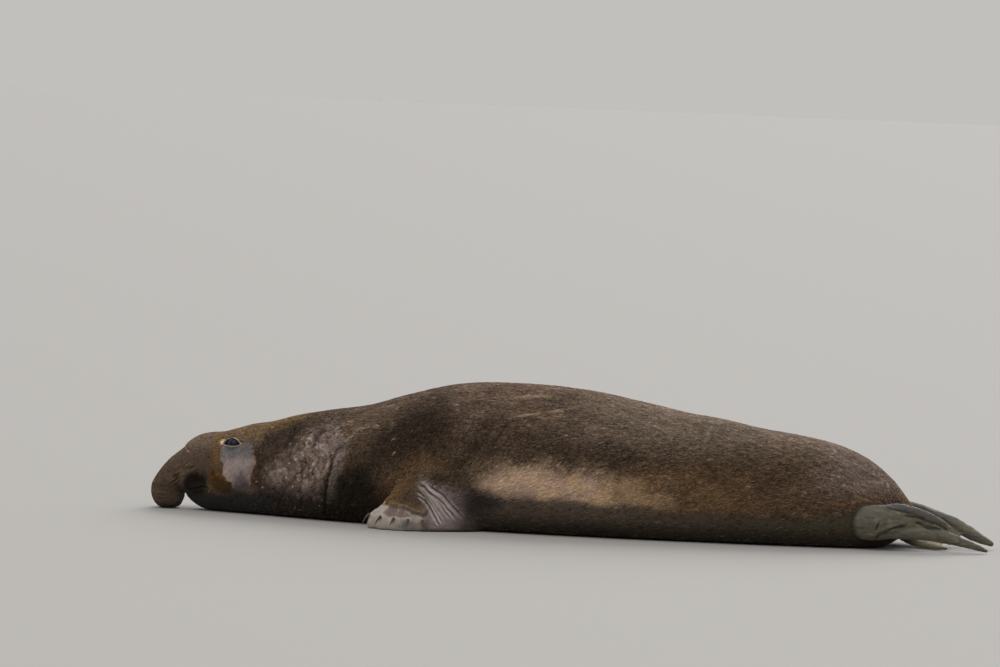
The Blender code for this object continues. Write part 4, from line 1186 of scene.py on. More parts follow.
def paint_trunk(colours, at):
    points, place, height, far, trunk = at.points, at.place, at.height, at.far, at.trunk
    patches = noise(points, (0.30, 0.16, 0.16), 36)
    top = ramp(height, 0.42, 0.62)
    paint(colours, (112, 94, 83), 0.70 * top * trunk)
    paint(colours, BROWN_DARK, 0.45 * top * ramp(place, 1.08, 1.22) * ramp(place, 1.75, 1.55))
    paint(colours, BROWN_DARK, 0.60 * ramp(patches, 0.0, 0.9))
    paint(colours, BROWN_LIGHT, 0.40 * ramp(-patches, 0.1, 0.9) * trunk)
    paint(colours, RUFOUS, 0.45 * ramp(height, 0.48, 0.26) * ramp(place, 2.2, 2.6) * ramp(place, 3.95, 3.6))
    paint(colours, (128, 114, 101), 0.80 * ramp(height, 0.36, 0.60) * ramp(place, 2.0, 2.8))
    paint(colours, (129, 114, 107), 0.75 * ramp(place, 3.45, 3.75) * ramp(height, 0.22, 0.34))
    paint(colours, (50, 38, 32), 0.85 * inside(far, SHOULDER_DARK, 0.07))
    paint(colours, (48, 38, 30), 0.6 * inside(far, BLADE_DARK, 0.05))
    paint(colours, (106, 80, 46), 0.72 * inside(far, SHOULDER_GOLD, 0.065))
    blond = inside(far + 0.6 * at.blur[:, None], BLOND, 0.060)
    paint(colours, (206, 180, 158), 0.92 * blond)
    paint(colours, (216, 186, 142), 0.6 * blond * ramp(at.small + 2.0 * (place - 2.2), 0.0, 0.9))
    dapple = ramp(noise(points, (0.045, 0.045, 0.055), 87, 2), -0.5, 0.9)
    paint(colours, (100, 74, 46), blond * ramp(place, 2.28, 2.85) * (0.35 + 0.60 * dapple))
    golden = ramp(place, 2.50, 2.80) * ramp(place, 3.50, 3.00) * ramp(height, 0.42, 0.30) * (1 - dapple)
    paint(colours, (124, 96, 60), 0.45 * golden)
    # Painted highlight along the tops of the raised ridges on the back
    for line, width in RIDGES:
        broken = ramp(noise(points, 0.05, 88), -1.2, 0.3)
        paint(colours, (176, 152, 128), 0.70 * broken * stroke(at.near, line, width, 0.30))


def paint_belly(colours, at):
    """Also returns how far each point is below the belly's line, from 0 to 1."""
    place, height, far = at.place, at.height, at.far
    distance, _, beside = line_distance(far, BELLY_LINE)
    below = ramp(-distance * beside, -0.018, 0.030) * ramp(place, 1.70, 1.85)
    # Below the belly's line: partly the belly's darker coat, partly painted shade on the underside below the
    # widest part
    paint(colours, (75, 65, 57), 0.92 * below * ramp(place, 4.1, 3.9))
    paint(colours, (64, 58, 46), 0.80 * below * ramp(place, 2.9, 3.4))
    edge = bell(distance, 0.012) * ramp(at.small, 0.1, 0.7) * ramp(place, 3.2, 3.4)
    paint(colours, (120, 108, 88), 0.6 * edge)
    # Painted shade where the trunk meets the floor
    paint(colours, (36, 30, 24), 0.85 * ramp(height, 0.13, 0.03) * at.trunk)
    paint(colours, (74, 64, 62), 0.85 * inside(far, AXILLA, 0.040))
    # Painted shade in the hollow behind the armpit
    paint(colours, (34, 32, 33), 0.95 * inside(far, SHADE_BEHIND_ARMPIT, 0.045))
    return below


def paint_shield(colours, at):
    """Neck and chest shield. Also returns how cobbled each point is."""
    points, place, far, near = at.points, at.place, at.far, at.near
    along, up = far.T
    neck = ramp(place, 0.60, 0.66) * ramp(place, 1.14, 1.04)
    paint(colours, (78, 63, 53), 0.7 * neck)
    shield = inside(far, PINK_SHIELD, 0.055)
    cobbled_near = np.maximum(shield, 0.7 * inside(far, SHIELD, 0.05))
    paint(colours, (136, 119, 111), 0.85 * shield)
    light, dark = shield_veins(points)
    middle = ramp(up, 0.14, 0.24) * ramp(along, 0.68, 0.78) * ramp(up, 0.50, 0.40)
    paint(colours, (196, 172, 154), 0.75 * cobbled_near * light * middle)
    paint(colours, (122, 98, 82), 0.55 * cobbled_near * light * (1 - middle))
    # Painted shade in the sunk clefts of the shield
    paint(colours, (34, 25, 21), 0.80 * cobbled_near * dark)
    stains = ramp(noise(points, (0.030, 0.024, 0.055), 44), 0.05, 0.75)
    paint(colours, (42, 32, 28), 0.70 * cobbled_near * stains)
    nearest, second, label = shield_cells(points)
    cobble = ramp(second - nearest, 0.0, 0.22)
    cobbled = inside(far, SHIELD, 0.045)
    # Painted shade in the sunk grooves between the cobbles of the rough shield
    paint(colours, (38, 29, 25), 0.60 * shield_rough(points) * (1 - cobble) * cobbled)
    paint(colours, (150, 130, 120), 0.30 * shield * cobble * (label > 0.6))
    paint(colours, (84, 66, 56), 0.50 * cobbled * cobble * (label < 0.28))
    paint(colours, (58, 46, 40), 0.75 * inside(far, DARK_NAPE, 0.045))
    paint(colours, (28, 22, 19), 0.94 * ramp(up, 0.22, 0.10) * neck)
    paint(colours, (104, 84, 70), 0.28 * cobbled_near * light * ramp(up, 0.20, 0.12) * neck)
    paint(colours, (130, 115, 109), 0.80 * inside(far, BEHIND_CREASE, 0.024))
    # The low chest in front of the foreflipper: partly its dark coat, partly painted shade near the floor
    paint(colours, (11, 8, 6), 0.95 * inside(far, LOW_CHEST, 0.085))
    # Painted shade in the deep crease between neck and shoulder
    distance, _, _ = line_distance(near, MAIN_CREASE)
    paint(colours, (24, 19, 17), 0.75 * bell(distance, 0.007) * ramp(at.height, 0.50, 0.34))
    # Painted shade along the folds of the back and neck
    for line, _, width in BACK_FOLDS + NECK_FOLDS:
        paint(colours, (34, 27, 23), 0.65 * stroke(near, line, width, 0.25))
    return cobbled


def paint_head(colours, at):
    place, height, far, near = at.place, at.height, at.far, at.near
    head = ramp(place, 0.66, 0.56)
    paint(colours, (86, 70, 58), head)
    # Painted highlight on the head's upward-facing skin
    paint(colours, (124, 105, 90), 0.80 * head * ramp(at.normals[:, 2], 0.15, 0.75) * ramp(height, 0.2, 0.4))
    snout = head * ramp(place, 0.30, 0.16)
    paint(colours, (100, 84, 74), 0.60 * snout * ramp(height, 0.16, 0.03))
    paint(colours, (24, 21, 19), 0.80 * snout * ramp(height, 0.045, 0.005))
    paint(colours, (122, 98, 62), 0.88 * inside(far, CROWN, 0.030) * (0.75 + 0.25 * at.small))
    paint(colours, (110, 84, 52), 0.85 * inside(far, OCHRE, 0.024))
    paint(colours, (62, 40, 15), 0.95 * inside(near + 0.25 * at.blur[:, None], GOLD, 0.014))
    gilt = ramp(noise(at.points, (0.020, 0.012, 0.012), 45) + 12 * (height - 0.175), -0.2, 0.7)
    paint(colours, (120, 84, 32), 0.65 * inside(near, GOLD, 0.012) * gilt)
    paint(colours, (98, 78, 48), 0.70 * blob(near, MOUTH_CORNER, 0.018))
    paint(colours, (33, 33, 34), 0.94 * inside(far, THROAT, 0.030))
    paint(colours, (46, 31, 21), 0.85 * inside(far, RUST, 0.034))
    paint(colours, (168, 150, 138), 0.55 * blob(near, NOSE_FLECK, 0.0055) * at.left)


def paint_muzzle(colours, at):
    """Whisker pads, and the painted shade in the hollow of the mouth."""
    pad = inside(at.far, WHISKER_PAD, 0.022)
    streaks = pad_streaks(at.points)
    paint(colours, (112, 91, 75), 0.80 * pad)
    # Painted shade in the clefts between the pad's ridges and painted highlight on the ridges
    paint(colours, (30, 22, 18), 0.82 * pad * ramp(-streaks, 0.1, 1.0))
    paint(colours, (146, 118, 94), 0.55 * pad * ramp(streaks, 0.4, 1.3))
    # Painted shade in the hollow of the mouth, under the proboscis
    paint(colours, (12, 10, 9), 0.97 * inside(at.far + (0.008 * streaks * pad)[:, None], HOLLOW, 0.020))
    paint(colours, (112, 92, 82), 0.55 * blob(at.far, HOLLOW_LIGHT, 0.014))


def paint_cheek(colours, at):
    """Bare grey skin with a pale edge behind. Also returns how far each point is inside it."""
    points, near, small = at.points, at.near, at.small
    along, up = at.far.T
    cheek = inside(near, CHEEK, 0.0025) * ramp(up, 0.096, 0.150)
    tone = np.tile(srgb(93, 92, 93), (len(points), 1))
    paint(tone, (82, 73, 71), 0.8 * ramp(along, 0.50, 0.55) * ramp(up, 0.31, 0.35))
    paint(tone, (141, 125, 120), ramp(up + 0.8 * at.blur, 0.325, 0.265))
    paint(tone, (140, 115, 104), 0.7 * ramp(up, 0.32, 0.26) * ramp(small, 0.0, 0.8))
    paint(tone, (94, 84, 84), 0.6 * ramp(-small, 0.2, 0.9))
    paint(tone, (48, 46, 53), 0.9 * ramp(up + at.blur, 0.255, 0.150) * ramp(along, 0.45, 0.52))
    paint(tone, (84, 82, 83), 0.6 * ramp(small, 0.2, 0.9) * ramp(up, 0.29, 0.33))
    tone *= (1 + 0.15 * noise(points, 0.022, 47) + 0.14 * noise(points, 0.008, 48, 1))[:, None]
    specks = ramp(noise(points, 0.008, 49, 1), 0.6, 1.5)
    paint(tone, (170, 148, 138), 0.40 * specks * ramp(up, 0.15, 0.22))
    colours += (tone - colours) * cheek[:, None]
    distance, _, _ = line_distance(near, CHEEK + CHEEK[:1])
    rear = ramp(at.place, 0.565, 0.590) * ramp(noise(points, 0.03, 46), -0.6, 0.4)
    paint(colours, (150, 108, 78), 0.70 * rear * bell(distance, 0.0034))
    return cheek


def paint_lids(colours, at, opening, eyes):
    """Pale rims and front corners, and the dark between the lids."""
    rim = ramp(opening, -0.0085, -0.0030) * (opening > -0.5)
    front = np.zeros(len(opening))
    for centre, _, axes in eyes:
        local = (at.points - centre) @ axes.T
        corner = np.hypot(local[:, 0] + LID_HALF_WIDTH + LID_FORWARD + 0.004, local[:, 1] - 0.006)
        front = np.maximum(front, (local[:, 2] > 0) * ramp(corner, 0.022, 0.008))
        above = (local[:, 2] > 0) * (local[:, 1] > 0) * (opening > -0.5)
        rim = np.maximum(rim, above * ramp(opening, -0.0140, -0.0060))
    paint(colours, (172, 146, 122), 0.80 * rim * (0.85 + 0.25 * at.small))
    paint(colours, (232, 204, 166), 0.92 * front)
    paint(colours, (26, 24, 28), ramp(opening, -0.0012, 0.0008))


def paint_scars(colours, at, cobbled):
    """Scars, flecks and specks. Also returns where the skin is bald from them."""
    points, near, left = at.points, at.near, at.left
    bald = np.zeros(len(points))
    broken = ramp(noise(points, 0.03, 39), -0.9, 0.2)
    for line, width, strength in SCARS:
        distance, fade = line_and_fade(near, line, 0.1, -0.01)
        mask = bell(distance, width) * fade
        paint(colours, (168, 152, 144), strength * mask * broken * left)
        bald = np.maximum(bald, mask * broken * left)
    for centre, high, reach in FLECKS:
        distance = np.hypot(near[:, 0] - centre, 1.15 * (near[:, 1] - high)) / reach
        paint(colours, (206, 184, 160), 0.85 * np.exp(-(distance**4)) * left)
        bald = np.maximum(bald, np.exp(-(distance**4)) * left)
    nearest, _, label = cells(points, (0.034, 0.034, 0.026), 41)
    paint(colours, (182, 160, 142), 0.65 * cobbled * (label > 0.80) * ramp(nearest, 0.22, 0.10))
    nearest, _, label = cells(points, 0.10, 42)
    paint(colours, (150, 132, 118), 0.50 * at.trunk * (label > 0.90) * ramp(nearest, 0.09, 0.04))
    return bald


# Edges of the flippers' markings in the side view
DOME = [
    (1.385, 0.125), (1.400, 0.170), (1.432, 0.215), (1.465, 0.245), (1.549, 0.262), (1.618, 0.215),
    (1.630, 0.130), (1.612, 0.085), (1.570, 0.092), (1.506, 0.117), (1.424, 0.122),
]
PURPLE = [
    (1.395, 0.090), (1.415, 0.112), (1.476, 0.108), (1.550, 0.086), (1.540, 0.068), (1.492, 0.070),
    (1.428, 0.066),
]
BLUISH = [(1.500, 0.020), (1.505, 0.052), (1.530, 0.055), (1.545, 0.030), (1.530, 0.010)]
FLIPPER_TOP = [
    (3.690, 0.130), (3.740, 0.210), (3.807, 0.250), (3.901, 0.270), (4.085, 0.260), (4.163, 0.200),
    (4.250, 0.140), (4.205, 0.138), (4.110, 0.190), (4.000, 0.205), (3.880, 0.224), (3.800, 0.205),
    (3.765, 0.165), (3.750, 0.100),
]
UNDER_LOBE = [
    (3.900, 0.060), (3.960, 0.110), (4.066, 0.140), (4.165, 0.128), (4.300, 0.085), (4.200, 0.080),
    (4.050, 0.078),
]


def fore_colours(points):
    """Colours of the foreflippers, and how furred and how smooth each point is."""
    place, height = side_view(points)
    places = wavy(points, 0.007, 0.035, (51, 52))
    outer = np.abs(points[:, 1])
    colours = np.tile(srgb(166, 155, 144), (len(points), 1))
    paint(colours, (128, 118, 110), 0.6 * ramp(noise(points, 0.06, 53), 0.0, 0.9))
    paint(colours, (118, 106, 103), ramp(place, 1.575, 1.640))
    paint(colours, (112, 102, 94), 0.75 * ramp(place, 1.47, 1.53) * ramp(height, 0.07, 0.04))
    paint(colours, (104, 87, 80), 0.88 * inside(places, PURPLE, 0.006))
    paint(colours, (84, 80, 86), 0.70 * inside(places, BLUISH, 0.012))
    dome = inside(places, DOME, 0.008) * (outer > 0.50)
    paint(colours, (92, 74, 60), dome)
    paint(colours, (58, 44, 34), 0.42 * dome * blob(places, DOME_SHADE, 0.052))
    paint(colours, (120, 104, 96), 0.50 * dome * ramp(place + height, 1.74, 1.84))
    paint(colours, (104, 78, 44), 0.75 * dome * ramp(place - 0.6 * height, 1.40, 1.33))
    paint(colours, (104, 76, 44), 0.50 * dome * ramp(noise(points, 0.05, 54), 0.0, 0.8))
    distance, fade = line_and_fade(places, DOME_FOLD, 0.1, 0)
    fade = fade * (outer > 0.55)
    # Painted highlight on the roll above the fold round the wrist's dome, and painted shade in the fold
    paint(colours, (140, 118, 88), 0.65 * fade * bell(distance - 0.012, 0.006) * dome)
    paint(colours, (60, 50, 46), 0.55 * fade * bell(distance, 0.005))
    return colours, 0.10 + 0.75 * dome, 0.25 * (1 - dome)


def pleat_colours(points, colours):
    """Painted shade in the pleats behind the foreflipper and painted highlight on the skin between them."""
    place, _ = side_view(points)
    places = wavy(points, WAVER, WAVER_SIZE, WAVER_SEEDS)
    near = ramp(np.abs(points[:, 1]), 0.44, 0.50) * ramp(place, 1.36, 1.42) * ramp(place, 1.82, 1.70)
    paint(colours, (138, 124, 122), 0.55 * inside(places, AXILLA, 0.03) * near)
    for line in PLEATS:
        distance, fade = line_and_fade(places, line, 0.10)
        # Painted shade in each pleat and painted highlight on the fold beside it
        paint(colours, (34, 26, 25), 0.90 * fade * near * bell(distance, 0.0042))
        paint(colours, (186, 172, 168), 0.55 * fade * near * bell(distance - 0.0088, 0.0036))


def hind_colours(points, near_side):
    place, height = side_view(points)
    places = wavy(points, 0.010, 0.06, (61, 62))
    grain = noise(points, (0.07, 0.016, 0.016), 63)
    olive = ramp(noise(points, (0.16, 0.08, 0.08), 64), -0.5, 0.4)
    stains = ramp(noise(points, (0.030, 0.014, 0.014), 66, 2), 0.3, 1.2)
    bloom = ramp(noise(points, (0.12, 0.03, 0.03), 68), -0.6, 0.5)
    colours = np.tile(srgb(84, 81, 78), (len(points), 1))
    paint(colours, (101, 96, 80), (0.4 + 0.6 * olive) * np.where(near_side, 0.95, 0.75))
    paint(colours, (134, 124, 94), 0.6 * ramp(grain, 0.0, 0.9) * np.where(near_side, 1.0, 0.4))
    paint(colours, (58, 55, 52), 0.45 * stains)
    paint(colours, (84, 80, 82), 0.85 * inside(places, FLIPPER_TOP, 0.014) * near_side)
    paint(colours, (80, 79, 80), 0.55 * (1 - near_side) * bloom)
    paint(colours, (86, 84, 80), 0.60 * inside(places, UNDER_LOBE, 0.022) * near_side)
    # Painted shade in the slits and folds of the hind flippers
    for line, _, width in HIND_FOLDS:
        paint(colours, (34, 32, 30), 0.75 * stroke(places, line, width, 0.12))
    # Painted shade where the hind flippers meet the floor
    paint(colours, (46, 42, 36), 0.6 * ramp(height, 0.022, 0.006))
    sandy = ramp(height, 0.062, 0.050) * ramp(place, 3.93, 3.97) * ramp(place, 4.24, 4.20)
    paint(colours, (156, 146, 120), 0.7 * sandy)
    return colours


def mark(points, normals, owner, crease, opening, eyes):
    """Colour of each point, and its fur and smoothness from 0 to 1."""
    colours, fur, smooth_skin = body_colours(points, normals, opening, eyes)
    place, height = side_view(points)
    out = np.abs(points[:, 1])
    fore = np.isin(owner, FORE) & (out > 0.40)
    limb = np.where(fore, 1.0, ramp(out, 0.50, 0.57)) * ramp(place, 1.66, 1.58) * (place > 1.1)
    chosen = limb > 0
    some_colours, some_fur, some_smooth = fore_colours(points[chosen])
    share = limb[chosen]
    colours[chosen] += (some_colours - colours[chosen]) * share[:, None]
    fur[chosen] += (some_fur - fur[chosen]) * share
    smooth_skin[chosen] += (some_smooth - smooth_skin[chosen]) * share
    pleat_colours(points, colours)
    hind = np.isin(owner, HIND)
    near_side = points[:, 1] * normals[:, 1] > -0.05
    colours[hind] = hind_colours(points[hind], near_side[hind])
    fur[hind] = 0.06
    smooth_skin[hind] = 0.10
    # Painted shade in the crease where the hind flippers leave the body
    paint(colours, (34, 31, 29), 0.75 * (place > 3.6) * bell(crease, 0.007))
    distance, along, _ = line_distance(np.stack([place, height], axis=1), RUMP_LINE)
    paint(colours, (150, 116, 84), 0.50 * bell(distance, 0.007) * ramp(along, 0.0, 0.5) * (owner == BODY))
    fur = np.where(height < 0.012, 0, fur)
    return np.clip(colours, 0.002, 1), np.clip(fur, 0, 1), np.clip(smooth_skin, 0, 1)


# Lie of the coat and the unwrap

# Breadth that the unwrap covers, its margin as a share, and metres on it: the back's line and the limbs
UNWRAP_SPAN = 5.2
UNWRAP_EDGE = 0.02
UNWRAP_BACK = 1.62
LIMB_STRIP = 3.35
# Turns of the lie in the side view: place, height, reach along, reach up, degrees (rearward end up)
LIE_TURNS = [
    (1.34, 0.26, 0.26, 0.22, 46.0),
    (1.58, 0.42, 0.34, 0.22, 34.0),
    (1.84, 0.36, 0.24, 0.16, 22.0),
    (1.10, 0.30, 0.16, 0.30, 16.0),
    (2.25, 0.42, 0.42, 0.34, 30.0),
    (2.95, 0.36, 0.50, 0.26, 27.0),
    (3.50, 0.30, 0.26, 0.20, 22.0),
    (3.98, 0.34, 0.16, 0.16, -30.0),
    (0.40, 0.33, 0.06, 0.12, 28.0),
    (0.22, 0.22, 0.08, 0.08, -22.0),
]


def on_body(points, face, rings):
    """Along and around the body from nose and back, in metres, and the unit vector rearwards."""
    rows, count = rings.shape[:2]
    sides = (rows - 1) * count
    index = np.where(face < 0, 0, face) % sides
    i, k = index // count, index % count
    ahead = rings[i + 1, k] - rings[i, k]
    ahead = ahead / np.linalg.norm(ahead, axis=1)[:, None]
    around = np.roll(rings, -1, axis=1) - rings
    step = np.linalg.norm(around, axis=2)
    walked = np.concatenate([np.zeros((rows, 1)), np.cumsum(step, axis=1)], axis=1)
    middle = rings.mean(axis=1)
    centre = np.concatenate([[0], np.cumsum(np.linalg.norm(np.diff(middle, axis=0), axis=1))])
    offset = points - rings[i, k]
    cross = around[i, k] / np.maximum(step[i, k], 1e-9)[:, None]
    along = centre[i] + np.clip((offset * ahead).sum(axis=1), -0.02, 0.02)
    arc = walked[i, k] + np.clip((offset * cross).sum(axis=1), -0.02, 0.02)
    girth = walked[i, -1]
    arc = np.where(arc > girth / 2, arc - girth, arc)
    return along, arc, girth, ahead


def turned_in_side_view(vectors, degrees):
    turn = np.radians(degrees)
    x = vectors[:, 0] * np.cos(turn) - vectors[:, 2] * np.sin(turn)
    z = vectors[:, 0] * np.sin(turn) + vectors[:, 2] * np.cos(turn)
    return np.stack([x, vectors[:, 1], z], axis=1)


def lie_of(points, normals, owner, ahead):
    """Unit vectors along the skin, in which the hair lies."""
    place, height = side_view(points)
    lie = ahead.copy()
    side = ramp(np.abs(normals[:, 1]), 0.15, 0.7)
    degrees = np.zeros(len(points))
    for at, high, along, up, turn in LIE_TURNS:
        distance = ((place - at) / along) ** 2 + ((height - high) / up) ** 2
        degrees += turn * np.exp(-distance)
    degrees += 10 * noise(points, (0.18, 0.10, 0.10), 71, 2)
    lie = turned_in_side_view(lie, degrees * side)
    centre = np.stack([
        np.full(len(points), to_x(FORE_CENTRE[0] + 0.05)),
        np.sign(points[:, 1]) * FORE_CENTRE[1],
        np.full(len(points), 0.30),
    ], axis=1)
    fore = np.isin(owner, FORE)
    lie[fore] = (points - centre)[fore]
    lie[np.isin(owner, (*HIND, TAIL))] = (1.0, 0.0, -0.30)
    lie -= normals * (lie * normals).sum(axis=1)[:, None]
    return lie / np.maximum(np.linalg.norm(lie, axis=1), 1e-9)[:, None]


def limb_map(points, owner, under):
    """Places of a limb's points on the unwrap, before scaling. Under tells which sides face down or in."""
    u, v = points[:, 0].copy(), points[:, 1].copy()
    fore = np.isin(owner, FORE)
    far = np.where(owner % 2 == 1, 2, 0) + under
    u = np.where(fore, 0.20 + 0.70 * far + (points[:, 0] - to_x(1.25)), u)
    v = np.where(fore, LIMB_STRIP + (np.abs(points[:, 1]) - 0.35), v)
    u = np.where(fore, u, 0.05 + 0.85 * far + (points[:, 0] - to_x(3.70)))
    v = np.where(fore, v, LIMB_STRIP + 0.55 + points[:, 2])
    tail = owner == TAIL
    u = np.where(tail, 3.50 + under * 0.4 + (points[:, 0] - to_x(3.70)), u)
    v = np.where(tail, LIMB_STRIP + 1.15 + points[:, 1], v)
    return np.stack([u, v], axis=1)


def unwrapped(points, normals, triangles, owner, along, arc, girth):
    """Places of the corners of each triangle on one flat unwrap, in metres."""
    centre = points[triangles].mean(axis=1)
    facing = normals[triangles].mean(axis=1)
    mine = owner[triangles].max(axis=1)
    flat = np.stack([along[triangles], arc[triangles]], axis=2)
    spread = flat[:, :, 1].max(axis=1) - flat[:, :, 1].min(axis=1)
    wraps = spread > 0.4 * girth[triangles].mean(axis=1)
    lower = flat[:, :, 1] < 0
    flat[:, :, 1] += np.where(wraps[:, None] & lower, girth[triangles], 0)
    flat[:, :, 1] += UNWRAP_BACK
    limb = mine != BODY
    inward = centre[:, 1] * facing[:, 1] < 0
    under = np.where(np.isin(mine, (*FORE, TAIL)), facing[:, 2] < -0.2, inward).astype(int)
    for corner in range(3):
        places = points[triangles[:, corner]]
        flat[limb, corner] = limb_map(places[limb], mine[limb], under[limb])
    return flat


# Surfaces

SHINE_TINT = (1.0, 0.86, 0.70, 1.0)


def material(name, roughness, specular):
    made = bpy.data.materials.new(name)
    made.use_nodes = True
    shader = made.node_tree.nodes["Principled BSDF"]
    shader.inputs["Roughness"].default_value = roughness
    shader.inputs["Specular IOR Level"].default_value = specular
    shader.inputs["Specular Tint"].default_value = SHINE_TINT
    return made, made.node_tree, shader


def node(tree, kind, **settings):
    made = tree.nodes.new(kind)
    for name, value in settings.items():
        setattr(made, name, value)
    return made


def attribute(tree, name):
    return node(tree, "ShaderNodeAttribute", attribute_name=name)


def sized_noise(tree, vector, stretch, detail=3.0):
    scaled = node(tree, "ShaderNodeVectorMath", operation="MULTIPLY")
    scaled.inputs[1].default_value = stretch
    tree.links.new(vector, scaled.inputs[0])
    made = node(tree, "ShaderNodeTexNoise")
    made.inputs["Scale"].default_value = 1.0
    made.inputs["Detail"].default_value = detail
    made.inputs["Roughness"].default_value = 0.6
    tree.links.new(scaled.outputs[0], made.inputs["Vector"])
    return made.outputs["Fac"]


def math_node(tree, operation, first, second, third=None):
    made = node(tree, "ShaderNodeMath", operation=operation)
    for socket, value in zip(made.inputs, (first, second, third)):
        if value is None:
            continue
        if isinstance(value, (int, float)):
            socket.default_value = value
        else:
            tree.links.new(value, socket)
    return made.outputs[0]


def contrast(tree, value, strength):
    """The middle of a noise's range, spread from minus the strength to the strength."""
    made = node(tree, "ShaderNodeMapRange")
    tree.links.new(value, made.inputs["Value"])
    for socket, number in zip(("From Min", "From Max", "To Min", "To Max"), (0.3, 0.7, -strength, strength)):
        made.inputs[socket].default_value = number
    return made.outputs["Result"]


def skin_material():
    made, tree, shader = material("skin", 0.6, 0.22)
    tone = attribute(tree, "tone").outputs["Color"]
    masks = node(tree, "ShaderNodeSeparateColor")
    tree.links.new(attribute(tree, "masks").outputs["Color"], masks.inputs[0])
    fur, smooth_skin = masks.outputs[:2]
    grain = attribute(tree, "grain").outputs["Vector"]
    place = node(tree, "ShaderNodeTexCoord").outputs["Object"]

    strands = sized_noise(tree, grain, (45.0, 420.0, 420.0))
    clumps = sized_noise(tree, grain, (16.0, 90.0, 90.0))
    pores = sized_noise(tree, place, (190.0, 190.0, 190.0), 2.0)
    folds = sized_noise(tree, place, (55.0, 38.0, 55.0), 4.0)

    mottled = math_node(tree, "ADD", contrast(tree, clumps, 0.22), contrast(tree, strands, 0.26))
    mottled = math_node(tree, "MULTIPLY", mottled, fur)
    bare = math_node(tree, "ADD", contrast(tree, folds, 0.12), contrast(tree, pores, 0.08))
    bright = math_node(tree, "ADD", math_node(tree, "ADD", mottled, bare), 1.0)
    scaled = node(tree, "ShaderNodeVectorMath", operation="SCALE")
    tree.links.new(tone, scaled.inputs[0])
    tree.links.new(bright, scaled.inputs["Scale"])
    tree.links.new(scaled.outputs[0], shader.inputs["Base Color"])

    rough = math_node(tree, "MULTIPLY_ADD", smooth_skin, -0.24, 0.68)
    tree.links.new(rough, shader.inputs["Roughness"])

    height = math_node(tree, "MULTIPLY", math_node(tree, "ADD", strands, clumps), fur)
    rest = math_node(tree, "MULTIPLY_ADD", pores, 0.35, folds)
    less = math_node(tree, "MULTIPLY_ADD", smooth_skin, -0.55, 1.0)
    height = math_node(tree, "ADD", height, math_node(tree, "MULTIPLY", rest, less))
    bump = node(tree, "ShaderNodeBump")
    bump.inputs["Strength"].default_value = 0.75
    bump.inputs["Distance"].default_value = 0.0035
    tree.links.new(height, bump.inputs["Height"])
    tree.links.new(bump.outputs[0], shader.inputs["Normal"])
    return made


def hair_material():
    made, tree, shader = material("hair", 0.55, 0.22)
    tree.links.new(attribute(tree, "tone").outputs["Color"], shader.inputs["Base Color"])
    shader.inputs["Sheen Weight"].default_value = 0.12
    shader.inputs["Sheen Roughness"].default_value = 0.35
    shader.inputs["Sheen Tint"].default_value = SHINE_TINT
    return made


def plain_material(name, colour, roughness, specular=0.5):
    made, _, shader = material(name, roughness, specular)
    shader.inputs["Base Color"].default_value = (*colour, 1)
    return made


def set_attribute(mesh, name, kind, values, domain="POINT"):
    layer = mesh.attributes.new(name, kind, domain)
    field = "color" if kind == "FLOAT_COLOR" else "vector"
    if kind == "FLOAT_COLOR":
        values = np.hstack([values, np.ones((len(values), 1))])
    layer.data.foreach_set(field, np.ascontiguousarray(values, np.float32).ravel())


def set_unwrap(mesh, corners):
    layer = mesh.uv_layers.new(name="OFBake")
    layer.data.foreach_set("uv", np.ascontiguousarray(corners, np.float32).ravel())


# Coat: flat tufts over the skin, in pieces along the body

# Piece, from and to behind the nose
COATS = [
    ("coat_head", -0.10, 0.66),
    ("coat_neck", 0.66, 1.18),
    ("coat_shoulders", 1.18, 1.80),
    ("coat_ribs", 1.80, 2.42),
    ("coat_flanks", 2.42, 3.06),
    ("coat_rump", 3.06, 4.60),
]
TUFTS_PER_PIECE = 48000
# Along the body: place, tuft length, width, tufts per square metre
TUFT_SIZES = [
    (0.00, 0.0075, 0.0017, 90000),
    (0.35, 0.0085, 0.0018, 80000),
    (0.52, 0.0110, 0.0022, 62000),
    (0.75, 0.0150, 0.0030, 44000),
    (1.20, 0.0210, 0.0040, 36000),
    (1.60, 0.0250, 0.0044, 33000),
    (3.60, 0.0250, 0.0044, 33000),
    (4.00, 0.0160, 0.0032, 36000),
    (4.60, 0.0120, 0.0028, 30000),
]
# Size of the tufts on the limbs, to that on the body
SHORT = 0.42
# Depth of the roots, and width of a tuft's patch on the unwrap
SUNK = 0.0012
PATCH = 0.003
# Share of tufts that stray, and rise of the tip over the length of other tufts and of these
STRAY = 0.07
LIFT, STRAY_LIFT = (0.03, 0.11), (0.15, 0.25)
# Share of straw-coloured tufts, their colour, and brightness of a tuft's root, root, tip and ridge
STRAW_SHARE = 0.17
STRAW = srgb(150, 130, 106)
# Darker roots are painted shade deep in the coat, the brighter tip and ridge painted highlight
TUFT_SHADE_AND_HIGHLIGHT = np.array([0.66, 0.66, 1.35, 1.1])


def size_at(place, column):
    rows = np.array(TUFT_SIZES)
    return np.interp(place, rows[:, 0], rows[:, column])


def scattered(points, triangles, fur, short, rng):
    """Roots spread over the furred skin: the triangle of each, and its place in it."""
    corners = points[triangles]
    faces = np.cross(corners[:, 1] - corners[:, 0], corners[:, 2] - corners[:, 0])
    area = 0.5 * np.linalg.norm(faces, axis=1)
    place = corners[:, :, 0].mean(axis=1) + LENGTH / 2
    closer = 1 + (1 / SHORT**2 - 1) * 0.6 * short[triangles].mean(axis=1)
    wanted = area * size_at(place, 3) * closer * fur[triangles].mean(axis=1) ** 1.3
    number = rng.poisson(wanted)
    chosen = np.repeat(np.arange(len(triangles)), number)
    r, t = np.sqrt(rng.random(len(chosen))), rng.random(len(chosen))
    weights = np.stack([1 - r, r * (1 - t), r * t], axis=1)
    return chosen, weights


